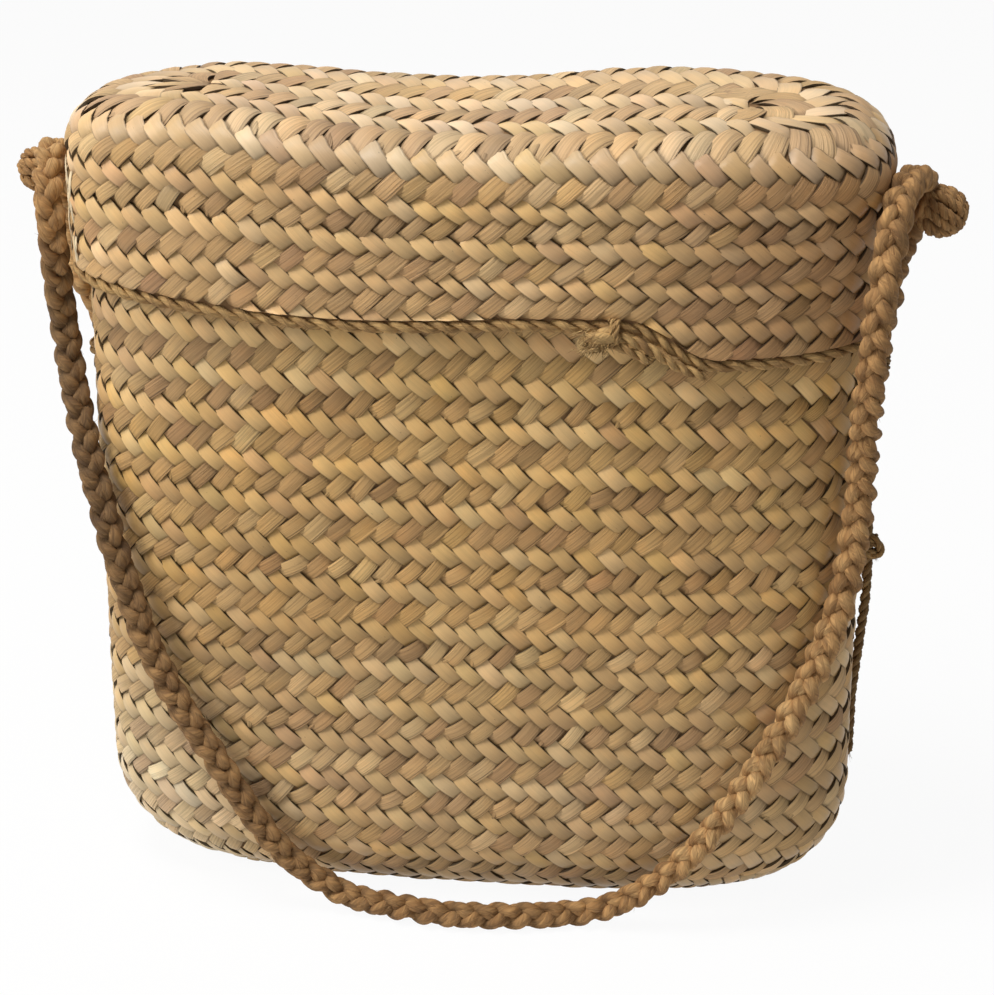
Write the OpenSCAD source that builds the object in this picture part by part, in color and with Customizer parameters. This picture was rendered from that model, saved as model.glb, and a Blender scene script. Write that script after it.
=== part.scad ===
// Fishing creel: a flat-sided palm-leaf basket with a pull-over lid and a rope shoulder strap.
// The front faces -Y, +Z is up, and the origin is the middle of the flat base.

/* [Basket] */
// Width of the basket where it is widest, above the rounded base
basket_w = 351; // [300:1:400]
// Depth of the basket where it is widest
basket_d = 110; // [95:1:140]
// Height of the mouth that the lid rests on
basket_h = 372; // [350:1:420]
// How far each end leans in between the widest place and the lid's rim
end_lean = 4; // [0:0.5:8]
// How far the front and the back lean in over the same height
face_lean = 1; // [0:0.5:4]
// Width of the flat patch that the basket stands on
base_w = 224; // [200:1:250]
// Depth of the flat patch that the basket stands on
base_d = 43; // [36:1:60]
// Height of the rounded lower edge
base_rise = 56; // [40:1:70]
// Roundness of the oval plan: 2 is an ellipse, more is squarer
plan_power = 2.9; // [2.4:0.1:3.6]

/* [Lid] */
// Room between the basket and the lid at each end
lid_gap_w = 3; // [2.5:0.1:5]
// Room between the basket and the lid at the front and the back
lid_gap_d = 5; // [4:0.1:8]
// Radius of the rounded upper edge
lid_edge_r = 22; // [18:0.5:30]
// How far the mouth lies inside the lid's wall
mouth_inset = 6; // [4:0.5:9]
// Rest gap between the mouth and the lid's ceiling
seat_gap = 0.4; // [0.3:0.1:0.8]
// Height of the lid's lower rim, left of the strip's end
rim_h = 300.5; // [285:0.5:315]
// Step of the rim where the coiled strip ends
rim_step = 17.5; // [5:0.5:20]
// Place of the middle of that step along the front
rim_step_x = 89; // [40:1:110]
// Length of that step along the front
rim_step_w = 38; // [25:1:60]
// Dip of the rim left of the middle of the front
rim_dip = 3.8; // [0:0.1:6]
// Rise of the rim towards the two ends
rim_end_rise = 5.5; // [0:0.5:8]
// How much lower the front upper edge is at the right than at the left
front_drop = 10; // [0:0.5:14]
// How much higher the back upper edge is at the right than at the left
back_rise = 4.5; // [0:0.5:8]
// Droop of the top's left end
left_droop = 5; // [0:0.5:8]
// Dip of the top between the ends
top_sag = 5; // [0:0.5:8]

/* [Weave] */
// Thickness of the plaited strip between two ridges
wall = 3; // [2.5:0.1:4]
// Height of a leaf's ridge over the strip
relief = 0.9; // [0.4:0.1:1.2]
// Leaves round the basket
columns = 66; // [40:2:80]
// Rows of leaves on the upright wall
wall_bands = 21; // [11:2:25]
// Rows of leaves on the rounded lower edge
base_bands = 5; // [3:2:7]
// Rows of leaves on the lid's wall
skirt_bands = 6; // [4:2:8]
// Rows of leaves on each half of the lid's top
top_bands = 4; // [2:2:6]
// Sideways lean of a leaf, as a share of its width
leaf_lean = 0.75; // [0.4:0.05:0.9]

/* [Cords] */
// Thickness of the braided strap
strap_dia = 12; // [9:0.5:14]
// Size of the knots at the strap's folds
strap_knot_dia = 22; // [18:1:28]
// Thickness of the cord on the lid's rim
rim_cord_dia = 6; // [4:0.5:7]
// Size of the knot in the rim cord
rim_knot_dia = 14; // [11:1:18]
// Thickness of the thin cords at the two ends
side_cord_dia = 3.6; // [3:0.1:5]
// Size of the knot in the right side cord
side_knot_dia = 11; // [9:0.5:14]
// Height of that knot
side_knot_h = 173; // [120:1:220]
// Height of the side cords' lower ends
side_cord_foot = 60; // [58:1:90]
// How far a side cord hangs off the basket half way up
side_cord_slack = 3; // [0:0.5:6]
// Gap between a cord and what it lies on
cord_gap = 0.3; // [0.2:0.1:0.6]

/* [Hidden] */
$fn = 48;
LEAF = "#cbb07e";
ROPE = "#a9824f";
CORD = "#b28e58";

// Half sizes of the basket's plan at its widest, at its base and at the lid's rim
belly_a = basket_w / 2;
belly_b = basket_d / 2;
base_a = base_w / 2;
base_b = base_d / 2;
rim_a = belly_a - end_lean;
rim_b = belly_b - face_lean;

// Half sizes of the lid inside and outside, and of the mouth under its ceiling
lid_in_a = rim_a + lid_gap_w;
lid_in_b = rim_b + lid_gap_d;
lid_a = lid_in_a + wall;
lid_b = lid_in_b + wall;
mouth_a = lid_in_a - mouth_inset;
mouth_b = lid_in_b - mouth_inset;
inner_edge_r = lid_edge_r - wall;
seat_angle = acos(1 - mouth_inset / inner_edge_r);
edge_start = basket_h + seat_gap - inner_edge_r * sin(seat_angle);

// Angle on the lid's edge where its wall of leaves turns into the top
crest_angle = 46;
crest_bands = 2;
seam_half = 0.8;
// Angle where the leaves of the rounded lower edge start
foot_angle = 18;
// The woven wall ends a little above the lid's rim
weave_over = 3;
weave_top = rim_h + weave_over;
// Reach of the dip in the top, of the drop of its front edge, of the rise of its back edge
// and of the droop of its left end
sag_x = -20;
sag_half = 110;
drop_half = 110;
rise_reach = 110;
droop_x = -105;
droop_reach = 70;
// Place and reach of the dip in the rim, and how late the rim rises towards the ends
rim_dip_x = -48;
rim_dip_half = 100;
rim_rise_power = 6;
// Shells are crossed at most this often by a line of sight
shell_layers = 6;

// Plan of the basket: points at equal steps along the oval
function spow(v, p) = sign(v) * pow(abs(v), p);
function plan_point(a, b, t) = [a * spow(cos(t), 2 / plan_power), b * spow(sin(t), 2 / plan_power)];
plan_step = 0.5;
plan_pts = [for (t = [0 : plan_step : 360]) plan_point(belly_a, belly_b, t)];
plan_run = [for (i = 0, s = 0; i < len(plan_pts); s = s + step_after(i), i = i + 1) [s, i * plan_step]];
plan_length = plan_run[len(plan_run) - 1][0];
function step_after(i) = i + 1 < len(plan_pts) ? norm(plan_pts[i + 1] - plan_pts[i]) : 0;
function angle_at(u) = lookup((u - floor(u)) * plan_length, plan_run);
even_angles = [for (j = [0 : columns - 1]) angle_at(j / columns)];
odd_angles = [for (j = [0 : columns - 1]) angle_at((j + leaf_lean) / columns)];

// Shape of the old lid: a dip along the top, a front edge that falls to the right, a back edge
// that rises to the right and a drooping left end
function eased(u) = let (v = min(max(u, 0), 1)) v * v * (3 - 2 * v);
function hollow(x, middle, half) = abs(x - middle) < half ? pow(cos(90 * (x - middle) / half), 2) : 0;
function lowered(x, y) =
    back_rise * (1 + y / lid_b) / 2 * eased(x / rise_reach)
    - front_drop * (1 - y / lid_b) / 2 * (x + drop_half) / (2 * drop_half)
    - left_droop * eased((droop_x - x) / droop_reach)
    - top_sag * hollow(x, sag_x, sag_half);

// Height of the lid's rim: a step at the strip's end, and a slow climb round the back
function rim_level(x) = rim_h + rim_end_rise * pow(abs(x) / lid_a, rim_rise_power);
function rim_front(x) =
    rim_level(x) - rim_dip * hollow(x, rim_dip_x, rim_dip_half)
    - rim_step * eased((x - rim_step_x) / rim_step_w + 0.5);
function rim_back(x) = rim_level(x) - rim_step * (x / lid_a + 1) / 2;
function rim_at(x, y) = y < 0 ? rim_front(x) : rim_back(x);

// A row of points round the oval: half width, half depth, height, share of the lid's warp,
// share of the height over the rim, and the column set it uses
function row(a, b, z, warp, lift, odd) = [
    for (t = odd == 1 ? odd_angles : even_angles)
        let (p = plan_point(a, b, t))
            [p.x, p.y, lift * z + (1 - lift) * rim_at(p.x, p.y) + warp * lowered(p.x, p.y)]
];

// A closed wall through a list of rows, with a raised leaf on every tile of the woven bands
module woven_shell(rows, first_band, last_band) {
    n = columns;
    last = len(rows) - 1;
    function id(i, j) = i * n + j % n;
    function centre_id(i, j) = (last + 1) * n + (i - first_band) * n + j;
    function corner(i, j) = rows[i][j % n];
    function raised(i, j) =
        let (a = corner(i, j), b = corner(i, j + 1), c = corner(i + 1, j + 1), d = corner(i + 1, j))
        let (out = cross(c - a, d - b))
            (a + b + c + d) / 4 + relief * out / norm(out);
    function is_woven(i) = i >= first_band && i <= last_band;
    function cap(i, j) = [id(i, j), id(i, j + 1), id(i, n - j - 1), id(i, n - j)];
    function turned(f) = [for (k = [len(f) - 1 : -1 : 0]) f[k]];
    function cap_faces(i) = concat(
        [[id(i, 0), id(i, 1), id(i, n - 1)]],
        [for (j = [1 : n / 2 - 2]) let (q = cap(i, j)) each [[q[0], q[1], q[2]], [q[0], q[2], q[3]]]],
        [[id(i, n / 2 - 1), id(i, n / 2), id(i, n / 2 + 1)]]
    );
    points = concat(
        [for (r = rows) each r],
        [for (i = [first_band : last_band]) for (j = [0 : n - 1]) raised(i, j)]
    );
    faces = concat(
        cap_faces(0),
        [for (f = cap_faces(last)) turned(f)],
        [for (i = [0 : last - 1]) for (j = [0 : n - 1])
            let (a = id(i, j), b = id(i, j + 1), c = id(i + 1, j + 1), d = id(i + 1, j))
                each is_woven(i)
                    ? let (m = centre_id(i, j)) [[a, d, m], [d, c, m], [c, b, m], [b, a, m]]
                    : [[a, d, c], [a, c, b]]]
    );
    polyhedron(points = points, faces = faces, convexity = shell_layers);
}

// Rows of the basket: k is the angle on the rounded lower edge, z the height on the upright wall
function base_row(k, inset, odd) =
    row(base_a + (belly_a - base_a) * sin(k) - inset, base_b + (belly_b - base_b) * sin(k) - inset,
        inset + (base_rise - inset) * (1 - cos(k)), 0, 1, odd);
function wall_share(z) = (z - base_rise) / (rim_h - base_rise);
function wall_a(z) = belly_a - end_lean * wall_share(z);
function wall_b(z) = belly_b - face_lean * wall_share(z);
function wall_row(z, inset, odd) = row(wall_a(z) - inset, wall_b(z) - inset, z, 0, 1, odd);
function mouth_row(inset) = row(mouth_a - inset, mouth_b - inset, basket_h, 1, 1, 0);
inner_angles = [90, 60, 35, 0];

module basket() {
    outer_foot = [
        for (i = [0 : base_bands])
            base_row(foot_angle + (90 - foot_angle) * i / base_bands, 0, i % 2)
    ];
    outer_wall = [
        for (i = [1 : wall_bands])
            wall_row(base_rise + (weave_top - base_rise) * i / wall_bands, 0, (base_bands + i) % 2)
    ];
    inner = [for (k = inner_angles) base_row(k, wall, 0)];
    rows = concat(
        [base_row(0, 0, 0)],
        outer_foot,
        outer_wall,
        [mouth_row(0), mouth_row(wall), wall_row(weave_top, wall, 0)],
        inner
    );
    color(LEAF) woven_shell(rows, 1, base_bands + wall_bands);
}

// Rows of the lid: an edge row lies on the rounded upper edge, a skirt row on the wall below it
function edge_row(k, r, inset, odd) =
    let (in = inset + r * (1 - cos(k)))
        row(lid_a - in, lid_b - in, edge_start + r * sin(k), 1, 1, odd);
function skirt_row(share, inset, odd) = row(lid_a - inset, lid_b - inset, edge_start, share, share, odd);
function top_row(inset, odd) =
    let (k = inset < lid_edge_r ? acos(1 - inset / lid_edge_r) : 90)
        row(lid_a - inset, lid_b - inset, edge_start + lid_edge_r * sin(k), 1, 1, odd);

module lid() {
    ceiling_angles = [90, (90 + seat_angle) / 2, seat_angle, seat_angle / 2, 0];
    crest_inset = lid_edge_r * (1 - cos(crest_angle));
    seam_inset = lid_b - seam_half;
    rows = concat(
        [for (k = ceiling_angles) edge_row(k, inner_edge_r, wall, 0)],
        [skirt_row(0, wall, 0)],
        [for (i = [0 : skirt_bands]) skirt_row(i / skirt_bands, 0, i % 2)],
        [for (i = [1 : crest_bands]) edge_row(crest_angle * i / crest_bands, lid_edge_r, 0, i % 2)],
        [for (i = [1 : top_bands]) top_row(crest_inset + (seam_inset - crest_inset) * i / top_bands, i % 2)]
    );
    first = len(ceiling_angles) + 1;
    color(LEAF) woven_shell(rows, first, first + skirt_bands + crest_bands + top_bands - 1);
}

// A round cord through a list of points, open at its ends or closed to a ring
first_side = [1, 1, 0.5];
turn_sides = 24;
function unit(v) = v / norm(v);
function heading(p, i, ring) = unit(
    ring ? p[(i + 1) % len(p)] - p[(i + len(p) - 1) % len(p)]
         : p[min(i + 1, len(p) - 1)] - p[max(i - 1, 0)]
);
function across(v, t) = unit(v - (v * t) * t);
function carried(p, ring) = [
    for (i = 0, v = across(first_side, heading(p, 0, ring));
        i < len(p);
        i = i + 1, v = across(v, heading(p, min(i, len(p) - 1), ring))) v
];

module cord(p, dia, sides, ring) {
    n = len(p);
    level_side = [for (i = [0 : n - 1]) unit(cross(heading(p, i, ring), [0, 0, 1]))];
    side = ring ? level_side : carried(p, ring);
    points = [
        for (i = [0 : n - 1]) for (k = [0 : sides - 1])
            let (up = cross(heading(p, i, ring), side[i]), a = 360 * k / sides)
                p[i] + dia / 2 * (cos(a) * side[i] + sin(a) * up)
    ];
    spans = ring ? n : n - 1;
    function id(i, k) = (i % n) * sides + k % sides;
    walls = [
        for (i = [0 : spans - 1]) for (k = [0 : sides - 1])
            let (a = id(i, k), b = id(i, k + 1), c = id(i + 1, k + 1), d = id(i + 1, k))
                each [[a, d, c], [a, c, b]]
    ];
    first_end = [for (k = [0 : sides - 1]) id(0, k)];
    last_end = [for (k = [sides - 1 : -1 : 0]) id(n - 1, k)];
    ends = ring ? [] : [first_end, last_end];
    polyhedron(points = points, faces = concat(walls, ends), convexity = shell_layers);
}

// A knot: a ball of rope with crossing turns round it, each turn and the ball a share of the knot's size
turn_share = 0.2;
ball_share = 0.36;
turn_leans = [[0, 0, 0], [62, 0, 20], [-55, 25, 0]];

module knot(dia) {
    turn_r = dia * turn_share;
    for (lean = turn_leans)
        rotate(lean)
            rotate_extrude()
                translate([dia / 2 - turn_r, 0])
                    circle(turn_r, $fn = turn_sides);
    sphere(dia * ball_share);
}

// The cord along the lid's rim, hung just under the edge of the strip
cord_sides = 8;
rim_cord_in = 0.5;
slope_step = 1;
function rim_slope(x, y) = (rim_at(x + slope_step, y) - rim_at(x - slope_step, y)) / (2 * slope_step);
function rim_cord_drop(x, y) = (rim_cord_dia / 2 + cord_gap) * sqrt(1 + pow(rim_slope(x, y), 2));
function rim_cord_point(t) =
    let (p = plan_point(lid_a - rim_cord_in, lid_b - rim_cord_in, t))
        [p.x, p.y, rim_at(p.x, p.y) - rim_cord_drop(p.x, p.y)];

module rim_cord_tube(room) {
    cord([for (t = even_angles) rim_cord_point(t)], rim_cord_dia + 2 * room, cord_sides, true);
}

module lid_rim_cord() {
    color(CORD) rim_cord_tube(0);
}

// The rim cord's knot, in front of the lid's wall at the start of the step, with a cut end
rim_knot_lead = 35;
rim_knot_turn = rim_knot_dia * turn_share;
rim_knot_tail = 13;
rim_knot_tail_dia = 4;
rim_knot_tail_lean = 120;

module lid_rim_knot() {
    x = rim_step_x - rim_knot_lead;
    wall_y = lid_b * pow(1 - pow(abs(x) / lid_a, plan_power), 1 / plan_power);
    y = -(wall_y + relief + cord_gap + rim_knot_turn);
    z = rim_front(x) - rim_cord_drop(x, y);
    color(CORD) difference() {
        translate([x, y, z]) {
            rotate([90, 0, 0])
                rotate_extrude()
                    translate([rim_knot_dia / 2 - rim_knot_turn, 0])
                        circle(rim_knot_turn, $fn = turn_sides);
            sphere(rim_knot_turn);
            rotate([0, rim_knot_tail_lean, 0]) cylinder(d = rim_knot_tail_dia, h = rim_knot_tail);
        }
        rim_cord_tube(cord_gap);
    }
}

// The strap's route: from the right end's side cord up to the fold, down across the front,
// along the floor, and up the left side over its fold to the left end's side cord.
// It is drawn for one size of lid and one height of its rim, and follows them
route_lid = [177.5, 62];
route_rim_h = 300.5;
route_scale = [lid_a / route_lid.x, lid_b / route_lid.y, rim_h / route_rim_h];
function routed(points) = [for (p = points) [for (k = [0 : 2]) p[k] * route_scale[k]]];
strap_right = routed([
    [175.9, 30.5, 246], [175.9, 30.5, 258], [179, 29.5, 270], [181.7, 28.6, 283], [183.5, 28, 300],
    [188.5, 25, 317], [193, 16, 334], [190.5, 1, 347]
]);
strap_front = routed([
    [185, -17, 351], [180, -33, 346], [176.5, -45, 331], [174, -50, 309], [173, -49, 286],
    [172, -46, 262], [172, -39, 236], [172, -37, 213], [170, -38, 188], [167, -40, 166], [161, -43, 146],
    [154, -47, 127], [139, -54, 96], [118, -59, 60], [102, -61, 39], [87, -61, 24], [71, -60, 13],
    [54, -60, 7], [30, -65, 7], [8, -68, 7], [-12, -67.5, 7], [-32, -64.5, 7], [-52, -60.5, 8],
    [-66, -59, 14], [-80, -59.5, 25], [-96, -61, 46], [-114, -60, 77], [-126, -58, 96], [-137, -55, 114],
    [-147, -52, 136], [-155.5, -48, 161], [-162, -44, 181], [-168.5, -38, 204], [-175, -30, 224],
    [-181, -20, 246], [-185.7, -12, 268], [-186.9, -13, 290], [-187, -16, 310], [-187.5, -16, 326],
    [-189.5, -9, 339]
]);
strap_left = routed([
    [-192, 6, 346], [-193.5, 21, 341.5], [-193, 30, 327], [-190.5, 29, 311], [-187.5, 23, 299],
    [-185, 18, 287], [-181, 19, 276], [-178, 24.5, 264], [-177.2, 28.3, 252], [-177.2, 28.3, 240]
]);
strap_points = concat(strap_right, strap_front, strap_left);
strap_sides = 10;

module strap_tube(room) {
    cord(strap_points, strap_dia + 2 * room, strap_sides, false);
}

module shoulder_strap() {
    color(ROPE) strap_tube(0);
}

// The knots hang on the outside of the two folds, bent round the strap
right_knot_at = strap_right[len(strap_right) - 1] + [9.5, 2, -14];
left_knot_at = strap_left[0] + [-9, 15, -12];
strap_knot_lean = 70;

module strap_knot(place, lean) {
    color(ROPE) difference() {
        translate(place) rotate([0, lean, 0]) knot(strap_knot_dia);
        strap_tube(cord_gap);
    }
}

module strap_knot_right() {
    strap_knot(right_knot_at, strap_knot_lean);
}

module strap_knot_left() {
    strap_knot(left_knot_at, -strap_knot_lean);
}

// A side cord: down the end of the basket, drawn aside at its head, with a turn round the strap's foot
side_loop_over = 7;
side_cord_rings = 20;
side_cord_y = [24, 11];
side_head_y = [18.5, 20.5];
side_cord_seat = 20;
drift_below = 50;
drift_length = 35;
loop_clear = 0.4;
cord_end_over = 1;
// A side cord lies down a little between the ridges of two leaves
side_cord_sink = 0.5;
side_cord_off = relief - side_cord_sink + cord_gap + side_cord_dia / 2;
function pick(side, pair) = pair[side > 0 ? 1 : 0];
function strap_foot(side) = strap_points[side > 0 ? 0 : len(strap_points) - 1];
function loop_h(side) = strap_foot(side).z + side_loop_over;
function drift(side, z) = eased((z - loop_h(side) + drift_below) / drift_length);
function seat_y(side, z) =
    pick(side, side_cord_y) + (pick(side, side_head_y) - pick(side, side_cord_y)) * drift(side, z);
function slack(side, z) =
    let (middle = (side_cord_foot + loop_h(side)) / 2)
        side_cord_slack * hollow(z, middle, middle - side_cord_foot - side_cord_seat);
function end_x(y, z) = wall_a(z) * pow(1 - pow(y / wall_b(z), plan_power), 1 / plan_power);
function end_normal(y, z) = unit([
    pow(end_x(y, z) / wall_a(z), plan_power - 1) / wall_a(z),
    pow(y / wall_b(z), plan_power - 1) / wall_b(z)
]);
function off_end(side, z, off) =
    let (y = seat_y(side, z), n = end_normal(y, z), far = off + slack(side, z))
        [side * (end_x(y, z) + far * n.x), y + far * n.y, z];

module side_cord_tube(side, room) {
    climb = loop_h(side) + cord_end_over - side_cord_foot;
    points = [
        for (i = [0 : side_cord_rings])
            off_end(side, side_cord_foot + climb * i / side_cord_rings, side_cord_off)
    ];
    cord(points, side_cord_dia + 2 * room, cord_sides, false);
}

module side_cord(side) {
    foot = strap_foot(side);
    loop_r = strap_dia / 2 + loop_clear + side_cord_dia / 2;
    color(CORD) {
        side_cord_tube(side, 0);
        translate([foot.x, foot.y, loop_h(side)])
            rotate_extrude()
                translate([loop_r, 0])
                    circle(d = side_cord_dia, $fn = turn_sides);
    }
}

module side_cord_right() {
    side_cord(1);
}

module side_cord_left() {
    side_cord(-1);
}

// The knot in the right side cord stands off the basket's end
side_knot_lean = 20;

module side_cord_knot() {
    place = off_end(1, side_knot_h, relief + cord_gap + side_knot_dia / 2);
    color(CORD) difference() {
        translate(place) rotate([side_knot_lean, 0, 0]) knot(side_knot_dia);
        side_cord_tube(1, cord_gap);
    }
}

basket();
lid();
lid_rim_cord();
lid_rim_knot();
shoulder_strap();
strap_knot_left();
strap_knot_right();
side_cord_left();
side_cord_right();
side_cord_knot();
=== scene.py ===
"""Fishing creel: plaited palm-leaf basket, pull-over lid and braided rope strap."""
import math

import bpy
import numpy as np
from mathutils import Matrix, Vector


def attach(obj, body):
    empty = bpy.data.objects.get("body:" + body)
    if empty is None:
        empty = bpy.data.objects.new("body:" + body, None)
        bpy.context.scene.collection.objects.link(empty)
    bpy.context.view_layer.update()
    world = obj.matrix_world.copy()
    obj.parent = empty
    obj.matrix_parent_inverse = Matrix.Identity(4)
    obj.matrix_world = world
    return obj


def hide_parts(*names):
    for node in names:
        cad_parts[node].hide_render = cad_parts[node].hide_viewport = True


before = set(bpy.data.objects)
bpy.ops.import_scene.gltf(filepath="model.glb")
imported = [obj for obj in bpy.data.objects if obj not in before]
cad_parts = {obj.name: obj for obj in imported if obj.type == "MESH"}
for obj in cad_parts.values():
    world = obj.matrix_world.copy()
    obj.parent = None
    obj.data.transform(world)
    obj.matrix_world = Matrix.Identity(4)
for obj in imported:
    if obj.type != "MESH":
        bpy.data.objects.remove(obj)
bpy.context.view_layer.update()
draw = np.random.default_rng(1907)
MM = 0.001

# Sizes of the solids, in millimetres
SQUARE = 2.9
BELLY = (175.5, 55.0)
FOOT = (112.0, 21.5)
FOOT_RISE = 56.0
END_LEAN, FACE_LEAN = 4.0, 1.0
LID = (177.5, 62.0)
MOUTH = (168.5, 53.0)
MOUTH_H = 372.0
NECK_H = 303.5
RIM_H, RIM_STEP, RIM_STEP_X, RIM_STEP_W = 300.5, 17.5, 89.0, 38.0
RIM_DIP, RIM_DIP_X, RIM_DIP_HALF = 3.8, -48.0, 100.0
RIM_END_RISE, RIM_RISE_POWER = 5.5, 6
EDGE_R = 22.0
INNER_EDGE_R = 19.0
EDGE_H = 372.4 - INNER_EDGE_R * math.sin(math.acos(1 - 6 / INNER_EDGE_R))
CREST = math.radians(46)
FRONT_DROP, DROP_HALF = 10.0, 110.0
TOP_SAG, SAG_X, SAG_HALF = 5.0, -20.0, 110.0
BACK_RISE, RISE_REACH = 4.5, 110.0
LEFT_DROOP, DROOP_X, DROOP_REACH = 5.0, -105.0, 70.0
STRAP_DIA = 12.0
RIM_CORD_DIA = 6.0
SIDE_CORD_DIA = 3.6

# The strap's route, from the right end's cord over the fold, across the front and up the left side
STRAP_ROUTE = [
    (175.9, 30.5, 246), (175.9, 30.5, 258), (179, 29.5, 270), (181.7, 28.6, 283), (183.5, 28, 300),
    (188.5, 25, 317), (193, 16, 334), (190.5, 1, 347),
    (185, -17, 351), (180, -33, 346), (176.5, -45, 331), (174, -50, 309), (173, -49, 286),
    (172, -46, 262), (172, -39, 236), (172, -37, 213), (170, -38, 188), (167, -40, 166), (161, -43, 146),
    (154, -47, 127), (139, -54, 96), (118, -59, 60), (102, -61, 39), (87, -61, 24), (71, -60, 13),
    (54, -60, 7), (30, -65, 7), (8, -68, 7), (-12, -67.5, 7), (-32, -64.5, 7), (-52, -60.5, 8),
    (-66, -59, 14), (-80, -59.5, 25), (-96, -61, 46), (-114, -60, 77), (-126, -58, 96), (-137, -55, 114),
    (-147, -52, 136), (-155.5, -48, 161), (-162, -44, 181), (-168.5, -38, 204), (-175, -30, 224),
    (-181, -20, 246), (-185.7, -12, 268), (-186.9, -13, 290), (-187, -16, 310), (-187.5, -16, 326),
    (-189.5, -9, 339),
    (-192, 6, 346), (-193.5, 21, 341.5), (-193, 30, 327), (-190.5, 29, 311), (-187.5, 23, 299),
    (-185, 18, 287), (-181, 19, 276), (-178, 24.5, 264), (-177.2, 28.3, 252), (-177.2, 28.3, 240),
]
RIGHT_KNOT = (200, 3, 333)
LEFT_KNOT = (-201, 21, 334)


def place_camera():
    """The camera of the photograph: from a little to the right and well above."""
    turn, lift, far, roll = math.radians(6.35), math.radians(23.77), 1.0707, 0.0018
    focal_px, image_px, film_mm = 2300, 994, 36
    back = Vector((math.sin(turn) * math.cos(lift), -math.cos(turn) * math.cos(lift), math.sin(lift)))
    right = Vector((math.cos(turn), math.sin(turn), 0))
    up = back.cross(right)
    aim = Vector((0, 0, 0.17)) + right * 0.0089 + up * 0.0182
    side = right * math.cos(roll) + up * math.sin(roll)
    top = up * math.cos(roll) - right * math.sin(roll)
    lens = bpy.data.cameras.new("camera")
    lens.sensor_width = film_mm
    lens.lens = film_mm * focal_px / image_px
    camera = bpy.data.objects.new("camera", lens)
    bpy.context.collection.objects.link(camera)
    stand = Matrix((side, top, back)).transposed().to_4x4()
    stand.translation = aim + back * far
    camera.matrix_world = stand
    bpy.context.scene.camera = camera


place_camera()


# Finishes

def tone(r, g, b):
    """A colour given in screen values, as light values."""
    return tuple((v / 255 / 12.92) if v < 10.3 else ((v / 255 + 0.055) / 1.055) ** 2.4 for v in (r, g, b))


class Wire:
    """A value in a finish, so that its maths reads as plain sums."""

    def __init__(self, finish, socket):
        self.finish, self.socket = finish, socket

    def sum(self, kind, first, second):
        return self.finish.node("ShaderNodeMath", {"operation": kind}, {0: first, 1: second})

    def __add__(self, other):
        return self.sum("ADD", self, other)

    def __sub__(self, other):
        return self.sum("SUBTRACT", self, other)

    def __rsub__(self, other):
        return self.sum("SUBTRACT", other, self)

    def __mul__(self, other):
        return self.sum("MULTIPLY", self, other)

    def __abs__(self):
        return self.finish.node("ShaderNodeMath", {"operation": "ABSOLUTE"}, {0: self})

    __radd__ = __add__
    __rmul__ = __mul__


class Finish:
    """One procedural material, or the studio's surroundings."""

    def __init__(self, name, shelf=None):
        self.material = (bpy.data.materials if shelf is None else shelf).new(name)
        self.material.use_nodes = True
        self.tree = self.material.node_tree
        self.tree.nodes.clear()

    def node(self, kind, settings=None, values=None, out=0):
        """Any node: its type, its settings, then the values or wires of its sockets."""
        made = self.tree.nodes.new(kind)
        for key, value in (settings or {}).items():
            setattr(made, key, value)
        for key, value in (values or {}).items():
            socket = made.inputs[key]
            if isinstance(value, Wire):
                self.tree.links.new(value.socket, socket)
            else:
                socket.default_value = value
        return Wire(self, made.outputs[out]) if made.outputs else None

    def grain(self, run, along, across, detail=2.0, roughness=0.5):
        """Noise that is drawn out along a leaf or a yarn."""
        return self.noise(self.scaled(run, (along, across, 1.0)), 1.0, detail, roughness)

    def read(self, name, out):
        return self.node("ShaderNodeAttribute", {"attribute_name": name}, out=out)

    def parts(self, vector):
        """A vector's three numbers."""
        return [self.node("ShaderNodeSeparateXYZ", {}, {0: vector}, out=k) for k in range(3)]

    def scaled(self, vector, factors):
        return self.node("ShaderNodeVectorMath", {"operation": "MULTIPLY"}, {0: vector, 1: factors})

    def dimmed(self, colour, share):
        return self.node("ShaderNodeVectorMath", {"operation": "SCALE"}, {0: colour, "Scale": share})

    def noise(self, vector, size, detail=2.0, roughness=0.5):
        values = {"Vector": vector, "Scale": size, "Detail": detail, "Roughness": roughness}
        return self.node("ShaderNodeTexNoise", {}, values)

    def blend(self, share, first, second):
        return self.node("ShaderNodeMix", {"data_type": "RGBA"}, {0: share, 6: first, 7: second}, out=2)

    def band(self, value, low, high, start=0.0, end=1.0):
        values = {0: value, 1: low, 2: high, 3: start, 4: end}
        return self.node("ShaderNodeMapRange", {"interpolation_type": "SMOOTHSTEP"}, values)

    def skin(self, **sockets):
        values = {key.replace("_", " "): value for key, value in sockets.items()}
        shader = self.node("ShaderNodeBsdfPrincipled", {}, values)
        self.node("ShaderNodeOutputMaterial", {}, {"Surface": shader})
        return self.material


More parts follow.
